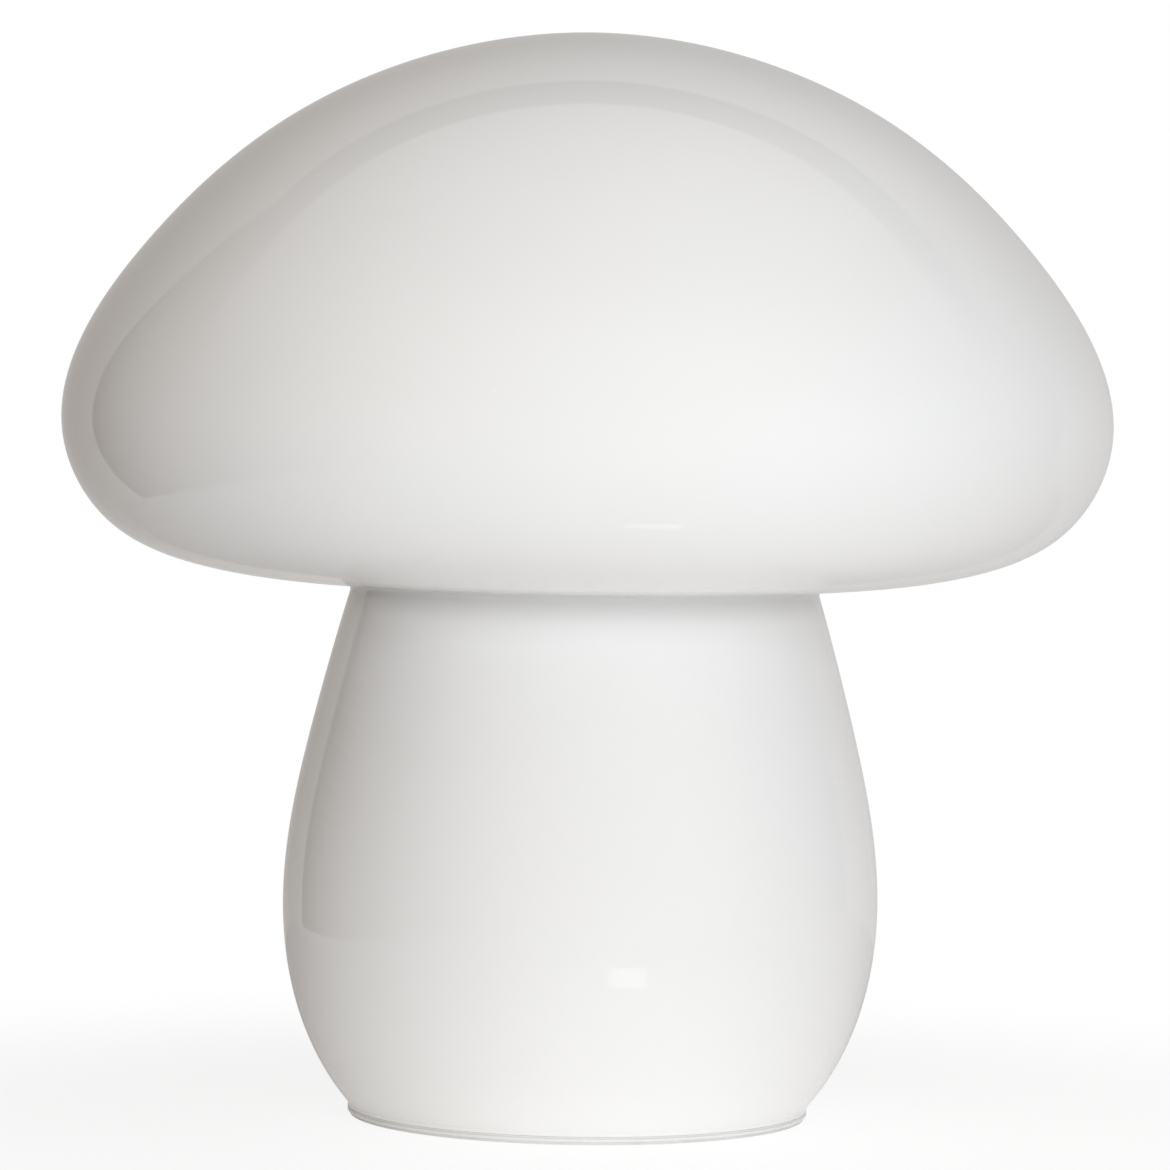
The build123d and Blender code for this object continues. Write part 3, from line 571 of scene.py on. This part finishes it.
def crease_mask(graph, glass):
    """Painted shade in the crease under the cap: full at the top of the neck, fading out down it
    and along the cap's underside.
    """
    flattened = {0: graph.place(), 1: (1.0, 1.0, 0.0)}
    flat = graph.add("VectorMath", flattened, operation="MULTIPLY")["Vector"]
    reach = graph.distance_from((0.0, 0.0, 0.0), flat)
    height = graph.add("SeparateXYZ", {"Vector": graph.place()})["Z"]
    neck = glass.crease_height
    inner = glass.crease_radius * INNER_SHARE
    cap_start = neck + 2 * glass.neck_fillet
    climb = graph.ramp(height, neck - glass.crease_fade, neck)
    inward = graph.ramp(reach, glass.crease_radius, inner)
    below_cap = graph.ramp(height, cap_start + glass.neck_fillet, cap_start, shape="LINEAR")
    return graph.combine("MULTIPLY", graph.combine("MULTIPLY", climb, inward), below_cap)


def opal_glass():
    """Glossy white opal glass: slightly uneven, with a few seeds near its skin, and painted shade
    in the crease under its cap.
    """
    glass = settings("lamp_glass")
    made, graph, shader = new_material()
    seeds = graph.add("TexVoronoi", {"Vector": graph.place(), "Scale": 42.0})["Distance"]
    seed_mask = graph.ramp(seeds, start=0.018, end=0.03, low=1.0, high=0.0)
    clouds = {
        "Patches per metre": 9.0,
        "Clean": rgba(*glass.opal),
        "Soiled": toned(glass.opal, 0.985, 0.982, 0.975),
        "Amount": 0.8,
    }
    seeded = graph.mix(seed_mask, graph.group("mottle", clouds)["Colour"], rgba(0.95, 0.95, 0.94))
    # Painted shade: the glass's colour is dimmed to this tone in the crease under the cap.
    share = glass.crease_tone
    crease = toned(glass.opal, share, share, share)
    waves = graph.noise(scale=16.0, detail=1.5)
    blown = graph.bump(waves, strength=0.14, distance=0.6 * MM)
    haze = {"Grains per metre": 30.0, "Smoothest": 0.02, "Roughest": 0.045, "Depth": 0.0}
    values = {
        "Base Color": graph.mix(crease_mask(graph, glass), seeded, crease),
        "Normal": graph.bump(seed_mask, strength=0.2, distance=0.1 * MM, Normal=blown),
        "Roughness": graph.group("skin_grain", haze)["Roughness"],
        "IOR": 1.5,
    }
    graph.fill(shader.inputs, values)
    return made


def table_paper():
    """Paper that glows near the lamp with painted light, and is white to the camera but for the
    shadow.
    """
    studio = settings("lamp_studio")
    made, graph, shader = new_material()
    across = graph.add("SeparateXYZ", {"Vector": graph.place()})["X"]
    spread = graph.ramp(across, -studio.glow_spread, studio.glow_spread)
    glow = graph.mix(spread, BLACK, rgba(*studio.right_glow))
    pool = graph.distance_from((studio.pool_right, -studio.pool_front, 0.0))
    nearness = graph.ramp(pool, studio.pool_reach, 0.0)
    # Painted light: the paper emits a glow on its right and a pool of light round the lamp's
    # foot.
    values = {
        "Base Color": rgba(*studio.table_colour),
        "Emission Color": graph.mix(nearness, glow, rgba(*studio.near_glow), "ADD"),
        "Emission Strength": 1.0,
        "Roughness": 0.6,
        "Specular IOR Level": 0.3,
    }
    graph.fill(shader.inputs, values)
    reach = graph.distance_from((0.0, 0.0, 0.0))
    whiteness = graph.ramp(
        reach, studio.shadow_start, studio.shadow_end, studio.shadow_white, 1.0
    )
    to_camera = graph.add("LightPath", {})["Is Camera Ray"]
    blended = {
        "Fac": graph.combine("MULTIPLY", to_camera, whiteness),
        1: shader.outputs["BSDF"],
        2: graph.add("Emission", {"Strength": 1.0})["Emission"],
    }
    surface = graph.add("MixShader", blended)["Shader"]
    graph.fill(graph.nodes["Material Output"].inputs, {"Surface": surface})
    return made


def white_enamel():
    """Baked enamel on the steel base plate."""
    return skin(
        rgba(0.84, 0.84, 0.83), rgba(0.74, 0.73, 0.71),
        smooth=0.18, rough=0.3, grains=700.0, depth=0.12, amount=0.35,
        own={"Coat Weight": 0.5, "Coat Roughness": 0.12},
    )


def pad_rubber():
    """Matt off-white non-slip pad."""
    return skin(
        rgba(0.76, 0.755, 0.74), rgba(0.62, 0.61, 0.58),
        smooth=0.62, rough=0.85, grains=1500.0, depth=0.5, amount=0.45,
    )


def gasket_silicone():
    """Milky white silicone."""
    return skin(
        rgba(0.82, 0.82, 0.81), rgba(0.74, 0.735, 0.72),
        smooth=0.35, rough=0.5, grains=500.0,
    )


def cover_plastic():
    """Moulded white plastic of the wiring cover, with a spark-eroded skin."""
    return skin(
        rgba(0.80, 0.80, 0.785), rgba(0.69, 0.68, 0.65),
        smooth=0.38, rough=0.55, grains=2600.0, depth=0.35, amount=0.4,
    )


def zinc_steel():
    """Bright zinc plating."""
    return worked_metal(
        rgba(0.66, 0.68, 0.70), rgba(0.50, 0.50, 0.47),
        smooth=0.2, rough=0.42,
    )


def bush_rubber():
    """Soft white rubber of the cord bush."""
    return skin(
        rgba(0.8, 0.8, 0.79), rgba(0.66, 0.66, 0.64),
        smooth=0.45, rough=0.7, grains=1200.0, depth=0.3,
    )


def milky(radius, scale):
    """The shader's constants for light that goes a little way into plastic."""
    return {"Subsurface Weight": 0.3, "Subsurface Radius": radius, "Subsurface Scale": scale}


def block_nylon():
    """Milky nylon of the terminal block."""
    return skin(
        rgba(0.80, 0.79, 0.74), rgba(0.70, 0.68, 0.60),
        smooth=0.32, rough=0.48, depth=0.12,
        own=milky((1.0, 0.95, 0.85), 1.5 * MM),
    )


def turned_brass():
    """Turned brass, a little dull."""
    return worked_metal(
        rgba(0.78, 0.57, 0.27), rgba(0.50, 0.34, 0.15),
        smooth=0.22, rough=0.45,
    )


def holder_plastic():
    """White thermoset of the lampholder."""
    return skin(
        rgba(0.79, 0.785, 0.76), rgba(0.72, 0.71, 0.675),
        smooth=0.22, rough=0.34, grains=1100.0, depth=0.06, amount=0.4,
        own={"Coat Weight": 0.25, "Coat Roughness": 0.2},
    )


def contact_ceramic():
    """Unglazed white ceramic."""
    return skin(
        rgba(0.78, 0.77, 0.74), rgba(0.64, 0.62, 0.57),
        smooth=0.6, rough=0.85, grains=2200.0, depth=0.4,
    )


def contact_bronze():
    """Sprung phosphor bronze strip."""
    return worked_metal(
        rgba(0.76, 0.47, 0.27), rgba(0.47, 0.27, 0.14),
        smooth=0.25, rough=0.4,
    )


def sheath(clean, soiled):
    """Insulation of a lead."""
    return skin(
        clean, soiled,
        smooth=0.35, rough=0.5, grains=800.0, depth=0.08, amount=0.35,
    )


def brown_sheath():
    """Brown insulation of the live lead."""
    return sheath(rgba(0.16, 0.065, 0.03), rgba(0.10, 0.04, 0.02))


def blue_sheath():
    """Blue insulation of the neutral lead."""
    return sheath(rgba(0.03, 0.14, 0.46), rgba(0.02, 0.09, 0.31))


def bulb_plastic():
    """Satin white plastic over the bulb's heat sink."""
    return skin(
        rgba(0.81, 0.81, 0.80), rgba(0.72, 0.715, 0.70),
        smooth=0.32, rough=0.42, grains=1800.0, depth=0.2, amount=0.35,
    )


def globe_plastic():
    """Frosted plastic globe: diffusing and slightly translucent."""
    return skin(
        rgba(0.83, 0.83, 0.815), rgba(0.79, 0.785, 0.765),
        smooth=0.42, rough=0.5, grains=2400.0, depth=0.15, amount=0.3,
        own=milky((1.0, 0.97, 0.94), 2 * MM),
    )


def cap_nickel():
    """Nickel plated brass of the bulb's screw cap."""
    return worked_metal(
        rgba(0.71, 0.69, 0.64), rgba(0.55, 0.51, 0.44),
        smooth=0.2, rough=0.38,
    )


def black_insulator():
    """Black glass bead round the bulb's tip contact."""
    return skin(
        rgba(0.018, 0.018, 0.02), rgba(0.05, 0.05, 0.05),
        smooth=0.12, rough=0.28, grains=600.0, depth=0.15,
    )


def solder_tip():
    """Dull tin of the tip contact."""
    return worked_metal(
        rgba(0.62, 0.62, 0.62), rgba(0.42, 0.42, 0.42),
        smooth=0.3, rough=0.55,
    )


def board_aluminium():
    """White solder mask on the aluminium board of the LEDs."""
    return skin(
        rgba(0.82, 0.82, 0.80), rgba(0.72, 0.72, 0.70),
        smooth=0.35, rough=0.5, grains=1200.0,
    )


def chip_phosphor():
    """Yellow phosphor of the LED chips."""
    return skin(
        rgba(0.85, 0.66, 0.10), rgba(0.75, 0.55, 0.08),
        smooth=0.35, rough=0.5, grains=1500.0,
    )


def board_green():
    """Green solder mask of the driver board."""
    return skin(
        rgba(0.02, 0.17, 0.07), rgba(0.015, 0.11, 0.05),
        smooth=0.2, rough=0.35, depth=0.15,
    )


FINISHES = {
    "base_plate": white_enamel,
    "wiring_cover": cover_plastic,
    "cover_washers": zinc_steel,
    "cover_nuts": zinc_steel,
    "cord_bush": bush_rubber,
    "terminal_block": block_nylon,
    "terminal_inserts": turned_brass,
    "terminal_screws": zinc_steel,
    "block_nut": zinc_steel,
    "tube_nuts": turned_brass,
    "tube_washer": zinc_steel,
    "holder_cap": holder_plastic,
    "grub_screw": zinc_steel,
    "holder_shell": holder_plastic,
    "contact_block": contact_ceramic,
    "live_terminal": turned_brass,
    "neutral_terminal": turned_brass,
    "holder_screws": zinc_steel,
    "centre_contact": contact_bronze,
    "side_contact": contact_bronze,
    "live_lead": brown_sheath,
    "neutral_lead": blue_sheath,
    "bulb_tip_contact": solder_tip,
    "bulb_insulator": black_insulator,
    "bulb_housing": bulb_plastic,
    "bulb_globe": globe_plastic,
    "led_board": board_aluminium,
    "led_chips": chip_phosphor,
    "driver_board": board_green,
}


# ------------------------------------------------------------------------- operators

class LAMP_OT_effects(bpy.types.Operator):
    """Build the shader effects that several finishes share"""

    bl_idname = "lamp.effects"
    bl_label = "Shared Effects"

    def execute(self, context):
        make_grain_group()
        make_mottle_group()
        make_tooling_group()
        return {"FINISHED"}


def glass_outline(glass):
    """The closed section of the glass, from its crown down the outside and up inside."""
    low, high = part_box("glass_body")
    foot, crown = low.z, high.z
    heel = foot + glass.heel_climb
    belly = heel + glass.belly_climb
    mid_stem = belly + glass.mid_stem_climb
    neck = mid_stem + glass.neck_climb
    underside = neck + glass.underside_climb
    lower_rim = underside + glass.lower_rim_climb
    rim = lower_rim + glass.rim_climb
    lower_shoulder = rim + glass.lower_shoulder_climb
    upper_shoulder = lower_shoulder + glass.upper_shoulder_climb
    hollow_centre = Vector((glass.neck_radius + glass.neck_fillet, neck))
    hollow_start = math.pi + glass.neck_lean
    hollow = arc_run(hollow_centre, glass.neck_fillet, hollow_start, math.pi / 2)
    stem = smooth_run(
        [
            (glass.foot_radius, foot + glass.land_height),
            (glass.heel_radius, heel),
            (glass.belly_radius, belly),
            (glass.mid_stem_radius, mid_stem),
            hollow[0],
        ],
        (math.sin(glass.heel_lean), math.cos(glass.heel_lean)),
        (-math.sin(glass.neck_lean), math.cos(glass.neck_lean)),
        glass.outline_step,
    )
    cap = smooth_run(
        [
            hollow[-1],
            (glass.underside_radius, underside),
            (glass.lower_rim_radius, lower_rim),
            (glass.rim_radius, rim),
            (glass.lower_shoulder_radius, lower_shoulder),
            (glass.upper_shoulder_radius, upper_shoulder),
            (0, crown),
        ],
        (1, 0),
        (-1, 0),
        glass.outline_step,
    )
    outside = stem + hollow[1:-1] + cap
    inside = inside_of(outside, glass.wall)
    inside[-1].x = 0
    outer_edge = Vector((glass.foot_radius, foot))
    mouth_edge = Vector((inside[0].x, foot))
    land_top = outside[0]
    outer_corner = eased_corner(land_top, outer_edge, mouth_edge, glass.edge_ease)
    mouth_corner = eased_corner(outer_edge, mouth_edge, inside[0], glass.edge_ease)
    return inside[::-1] + mouth_corner[::-1] + outer_corner[::-1] + outside


class LAMP_OT_glass(bpy.types.Operator):
    """Blow the glass: cap and stem as one shell, with the cord notch in its foot"""

    bl_idname = "lamp.glass"
    bl_label = "Glass"

    def execute(self, context):
        glass = settings("lamp_glass")
        shell = draw_line("glass_shell", glass_outline(glass))
        spin_round(shell, glass.segments)
        self.cut_notch(shell, glass)
        put_in_place(shell, "glass_body", opal_glass, "glass", crisp=30)
        return {"FINISHED"}

    def cut_notch(self, shell, glass):
        """Grind the U of the cord notch out of the back of the foot."""
        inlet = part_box("cord_bush")
        height = (inlet[0].z + inlet[1].z) / 2
        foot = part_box("glass_body")[0].z
        deselect()
        bpy.ops.mesh.primitive_cylinder_add(
            vertices=48,
            radius=glass.notch_half_width,
            depth=2 * (glass.belly_radius - glass.foot_radius),
            location=(0, glass.foot_radius, height),
            rotation=(math.pi / 2, 0, 0),
        )
        grinder = bpy.context.object
        settle(grinder)
        for vertex in grinder.data.vertices:
            if vertex.co.z < height:
                vertex.co.z = min(vertex.co.z, foot) - glass.land_height
        cut = shell.modifiers.new("cord_notch", "BOOLEAN")
        cut.operation = "DIFFERENCE"
        cut.solver = "EXACT"
        cut.object = grinder
        apply_modifiers(shell)
        bpy.data.objects.remove(grinder)


def soft_ring(name, node, bore, swell, ease, segments, maker):
    """A ring of soft stuff in a node's place, its outer edge squeezed out by the swell."""
    low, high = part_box(node)
    rim = high.x + swell
    inner_top, inner_foot = Vector((bore, high.z)), Vector((bore, low.z))
    outer_top, outer_foot = Vector((rim, high.z)), Vector((rim, low.z))
    section = [
        inner_top,
        *eased_corner(inner_top, outer_top, outer_foot, ease),
        *eased_corner(outer_top, outer_foot, inner_foot, ease),
        inner_foot,
        inner_top,
    ]
    ring = draw_line(name, section)
    spin_round(ring, segments)
    put_in_place(ring, node, maker, "base", crisp=40)


class LAMP_OT_soft_rings(bpy.types.Operator):
    """Seat the gasket and the foot pad: rings whose squeezed edges swell outwards"""

    bl_idname = "lamp.soft_rings"
    bl_label = "Gasket and Foot Pad"

    def execute(self, context):
        rings = settings("lamp_rings")
        for name, node, bore, swell, ease, maker in (
            ("gasket_ring", "seat_gasket", rings.gasket_bore, rings.gasket_swell,
             rings.gasket_ease, gasket_silicone),
            ("pad_ring", "foot_pad", rings.pad_bore, rings.pad_swell,
             rings.pad_ease, pad_rubber),
        ):
            soft_ring(name, node, bore, swell, ease, rings.segments, maker)
        return {"FINISHED"}


def reach_of(vertex):
    """How far a vertex lies from the lamp's axis."""
    return math.hypot(vertex.co.x, vertex.co.y)


def move_out_to(vertex, radius):
    """Move a vertex square to the axis, out or in to the radius."""
    scale = radius / reach_of(vertex)
    vertex.co.x *= scale
    vertex.co.y *= scale


def select_edges(piece, test):
    """Select the edges both of whose ends pass the test, and go into edit mode."""
    bpy.ops.mesh.select_all(action="DESELECT")
    bpy.ops.mesh.select_mode(type="EDGE")
    bpy.ops.object.mode_set(mode="OBJECT")
    vertices = piece.data.vertices
    for edge in piece.data.edges:
        edge.select = all(test(vertices[end]) for end in edge.vertices)
    bpy.ops.object.mode_set(mode="EDIT")


def share_of(value):
    """The value, kept between none and all."""
    return min(1.0, max(0.0, value))


def cut_square(tube, height, above, bore):
    """Cut off what lies above or below the height, and close the end in to the bore."""
    bpy.ops.mesh.select_all(action="SELECT")
    bpy.ops.mesh.bisect(
        plane_co=(0, 0, height),
        plane_no=(0, 0, 1),
        clear_outer=above,
        clear_inner=not above,
        threshold=TOUCH / 2,
    )
    select_edges(tube, lambda vertex: abs(vertex.co.z - height) < TOUCH)
    bpy.ops.mesh.extrude_edges_move()
    bpy.ops.object.mode_set(mode="OBJECT")
    for vertex in tube.data.vertices:
        if vertex.select:
            move_out_to(vertex, bore)
    bpy.ops.object.mode_set(mode="EDIT")


def wind_thread(name, turn, low, high, bore, steps):
    """A tube with a right-hand thread: one turn's outline wound down, cut square, bored."""
    pitch = turn[-1][1]
    tube = draw_line(name, [(radius, high + pitch / 2 + rise) for radius, rise in turn])
    turns = math.ceil((high - low) / pitch) + 2
    bpy.ops.object.mode_set(mode="EDIT")
    bpy.ops.mesh.select_all(action="SELECT")
    bpy.ops.mesh.screw(steps=steps, turns=turns, center=(0, 0, 0), axis=(0, 0, -1))
    bpy.ops.mesh.select_all(action="SELECT")
    bpy.ops.mesh.remove_doubles(threshold=2 * TOUCH)
    cut_square(tube, high, True, bore)
    cut_square(tube, low, False, bore)
    select_edges(tube, lambda vertex: abs(reach_of(vertex) - bore) < TOUCH)
    bpy.ops.mesh.bridge_edge_loops()
    bpy.ops.mesh.select_mode(type="VERT")
    bpy.ops.mesh.select_all(action="SELECT")
    bpy.ops.mesh.normals_make_consistent(inside=False)
    bpy.ops.object.mode_set(mode="OBJECT")
    return tube


class LAMP_OT_threads(bpy.types.Operator):
    """Cut the stand tube's thread and roll the thread of the bulb's screw cap"""

    bl_idname = "lamp.threads"
    bl_label = "Threads"

    def execute(self, context):
        thread = settings("lamp_threads")
        self.cut_tube(thread)
        self.roll_cap(thread)
        return {"FINISHED"}

    def cut_tube(self, thread):
        """A fine V thread along the whole of the stand tube."""
        low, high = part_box("stand_tube")
        root = high.x - thread.tube_depth
        turn = [(root, 0.0), (high.x, thread.tube_pitch / 2), (root, thread.tube_pitch)]
        tube = wind_thread(
            "threaded_tube", turn, low.z, high.z, thread.tube_bore, thread.tube_steps
        )
        put_in_place(tube, "stand_tube", zinc_steel, "base", crisp=20)

    def roll_cap(self, thread):
        """A round thread that runs out into plain bands at both ends of the cap."""
        low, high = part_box("bulb_screw_cap")
        root = high.x - thread.cap_depth
        middle = high.x - thread.cap_depth / 2
        bore = root - thread.cap_wall
        turn = []
        for bend in range(thread.cap_bends + 1):
            wave = math.cos(FULL_TURN * bend / thread.cap_bends)
            rise = thread.cap_pitch * bend / thread.cap_bends
            turn.append((middle - thread.cap_depth / 2 * wave, rise))
        cap = wind_thread("rolled_cap", turn, low.z, high.z, bore, thread.cap_steps)
        foot = low.z + thread.cap_bead
        top = foot + thread.cap_turns * thread.cap_pitch
        for vertex in cap.data.vertices:
            reach, height = reach_of(vertex), vertex.co.z
            if reach < bore + thread.cap_wall / 2:
                continue
            reach += (middle - reach) * share_of((height - top) / thread.cap_pitch * 2 + 1)
            reach += (root - reach) * share_of((foot - height) / thread.cap_bead + 1)
            move_out_to(vertex, reach)
        put_in_place(cap, "bulb_screw_cap", cap_nickel, "bulb", crisp=40)


class LAMP_OT_finishes(bpy.types.Operator):
    """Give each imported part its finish"""

    bl_idname = "lamp.finishes"
    bl_label = "Finishes of the Parts"

    def execute(self, context):
        for node, maker in FINISHES.items():
            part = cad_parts[node]
            for part_slot in part.material_slots:
                part_slot.material = finish_of(maker)
        return {"FINISHED"}


class LAMP_OT_stage(bpy.types.Operator):
    """Set the floor, the lamps of the studio, the world and the camera"""

    bl_idname = "lamp.stage"
    bl_label = "Studio"

    def execute(self, context):
        studio = settings("lamp_studio")
        self.lay_floor(studio)
        self.light_world(studio)
        self.hang_lights(studio)
        self.set_camera(studio)
        context.scene.view_settings.view_transform = "Standard"
        return {"FINISHED"}

    def lay_floor(self, studio):
        """A pale table top."""
        deselect()
        half = studio.table_size / 2
        centre = (half - studio.table_left, studio.table_back - half, 0)
        bpy.ops.mesh.primitive_plane_add(size=studio.table_size, location=centre)
        floor = bpy.context.object
        floor.name = "floor"
        settle(floor)
        floor.data.materials.append(finish_of(table_paper))

    def light_world(self, studio):
        """White to the camera, and to the glass a room with paper behind the lamp."""
        world = bpy.data.worlds.new("studio_world")
        bpy.context.scene.world = world
        world.use_nodes = True
        graph = Graph(world.node_tree)
        ray = graph.add("TexCoord", {})["Generated"]
        across, away, up = graph.add("SeparateXYZ", {"Vector": ray})
        room = self.light_room(graph, studio, across, away, up)
        paper, mask = self.hang_backdrop(graph, studio, across, away, up)
        to_camera = graph.add("LightPath", {})["Is Camera Ray"]
        seen = graph.mix(to_camera, graph.mix(mask, room, paper), WHITE)
        graph.fill(graph.nodes["Background"].inputs, {"Color": seen})

    def light_room(self, graph, studio, across, away, up):
        """The light of the room: dim on the left, bright on the right, and its ceiling."""
        rise = graph.combine("MULTIPLY", up, math.cos(studio.ceiling_edge))
        depth = graph.combine("MULTIPLY", away, math.sin(studio.ceiling_edge))
        beyond = graph.combine("SUBTRACT", rise, depth)
        height = graph.ramp(up, studio.ceiling_start, 1.0)
        ceiling = graph.combine("MULTIPLY", height, graph.ramp(beyond, 0.0, studio.edge_blur))
        room = BLACK
        for share, light in (
            (graph.ramp(across, 0.0, -1.0), studio.left_light),
            (graph.ramp(across, 0.0, 1.0), studio.right_light),
            (ceiling, studio.top_light),
            (graph.ramp(away, 0.0, -1.0), studio.front_light),
        ):
            room = graph.mix(share, room, rgba(*light), "ADD")
        return room

    def hang_backdrop(self, graph, studio, across, away, up):
        """The paper behind the lamp: its colour, and a mask that ends at its edges."""
        ahead = graph.combine("MAXIMUM", away, studio.backdrop_turn)
        sideways = graph.combine("DIVIDE", across, ahead)
        upwards = graph.combine("DIVIDE", up, ahead)
        change = graph.ramp(across, -studio.backdrop_change, studio.backdrop_change)
        paper = graph.mix(change, rgba(*studio.backdrop_left), rgba(*studio.backdrop_right))
        lowness = graph.ramp(upwards, studio.low_start, studio.low_full)
        paper = graph.mix(lowness, paper, rgba(*studio.backdrop_low), "ADD")
        mask = graph.ramp(away, 0.0, studio.backdrop_turn)
        for place, edge, outside in (
            (sideways, studio.backdrop_west, studio.backdrop_west - studio.edge_blur),
            (sideways, studio.backdrop_east, studio.backdrop_east + studio.edge_blur),
            (upwards, studio.backdrop_high, studio.backdrop_high + studio.edge_blur),
        ):
            mask = graph.combine("MULTIPLY", mask, graph.ramp(place, outside, edge))
        return paper, mask

    def hang_lights(self, studio):
        """A wide soft lamp in front, and a small low one for the glints."""
        side = studio.key_side
        key = add_lamp("key_lamp", studio.key_place, side, side, studio.key_power)
        key.data.color = studio.key_colour
        key.visible_glossy = False
        add_lamp(
            "low_lamp", studio.low_place, studio.low_width, studio.low_height, studio.low_power
        )

    def set_camera(self, studio):
        """The camera at the photograph's angle."""
        data = bpy.data.cameras.new("camera")
        data.lens = studio.lens
        data.sensor_width = 36.0
        data.clip_end = 100.0
        camera = bpy.data.objects.new("camera", data)
        bpy.context.scene.collection.objects.link(camera)
        place = Matrix.Translation((0, -studio.camera_distance, studio.camera_height))
        tilt = Matrix.Rotation(math.pi / 2 - studio.camera_tilt, 4, "X")
        roll = Matrix.Rotation(studio.camera_roll, 4, "Z")
        camera.matrix_world = place @ tilt @ roll
        bpy.context.scene.camera = camera


def add_lamp(name, place, width, height, power):
    """A soft lamp aimed at the middle of the glass."""
    data = bpy.data.lights.new(name, "AREA")
    data.shape = "RECTANGLE"
    data.size = width
    data.size_y = height
    data.energy = power
    lamp = bpy.data.objects.new(name, data)
    bpy.context.scene.collection.objects.link(lamp)
    lamp.location = place
    aim = Vector((0, 0, settings("lamp_studio").lamp_aim)) - Vector(place)
    lamp.rotation_euler = aim.to_track_quat("-Z", "Y").to_euler()
    lamp.visible_camera = False
    return lamp


STEPS = (
    LAMP_OT_effects,
    LAMP_OT_glass,
    LAMP_OT_soft_rings,
    LAMP_OT_threads,
    LAMP_OT_finishes,
    LAMP_OT_stage,
)


class LAMP_PT_panel(bpy.types.Panel):
    """The steps that dress the lamp, in order"""

    bl_idname = "LAMP_PT_panel"
    bl_label = "Mushroom Lamp"
    bl_space_type = "VIEW_3D"
    bl_region_type = "UI"
    bl_category = "Lamp"

    def draw(self, context):
        column = self.layout.column(align=True)
        for step in STEPS:
            column.operator(step.bl_idname)


GROUPS = {
    "lamp_glass": GlassSettings,
    "lamp_rings": RingSettings,
    "lamp_threads": ThreadSettings,
    "lamp_studio": StudioSettings,
}


def register():
    """Make the settings, the operators and the panel known."""
    for name, group in GROUPS.items():
        bpy.utils.register_class(group)
        setattr(bpy.types.Scene, name, bpy.props.PointerProperty(type=group))
    for step in STEPS:
        bpy.utils.register_class(step)
    bpy.utils.register_class(LAMP_PT_panel)


def unregister():
    """Take them away again."""
    bpy.utils.unregister_class(LAMP_PT_panel)
    for step in reversed(STEPS):
        bpy.utils.unregister_class(step)
    for name, group in GROUPS.items():
        delattr(bpy.types.Scene, name)
        bpy.utils.unregister_class(group)


def main():
    """Dress the lamp."""
    register()
    for step in STEPS:
        area, action = step.bl_idname.split(".")
        getattr(getattr(bpy.ops, area), action)()


if __name__ == "__main__":
    main()
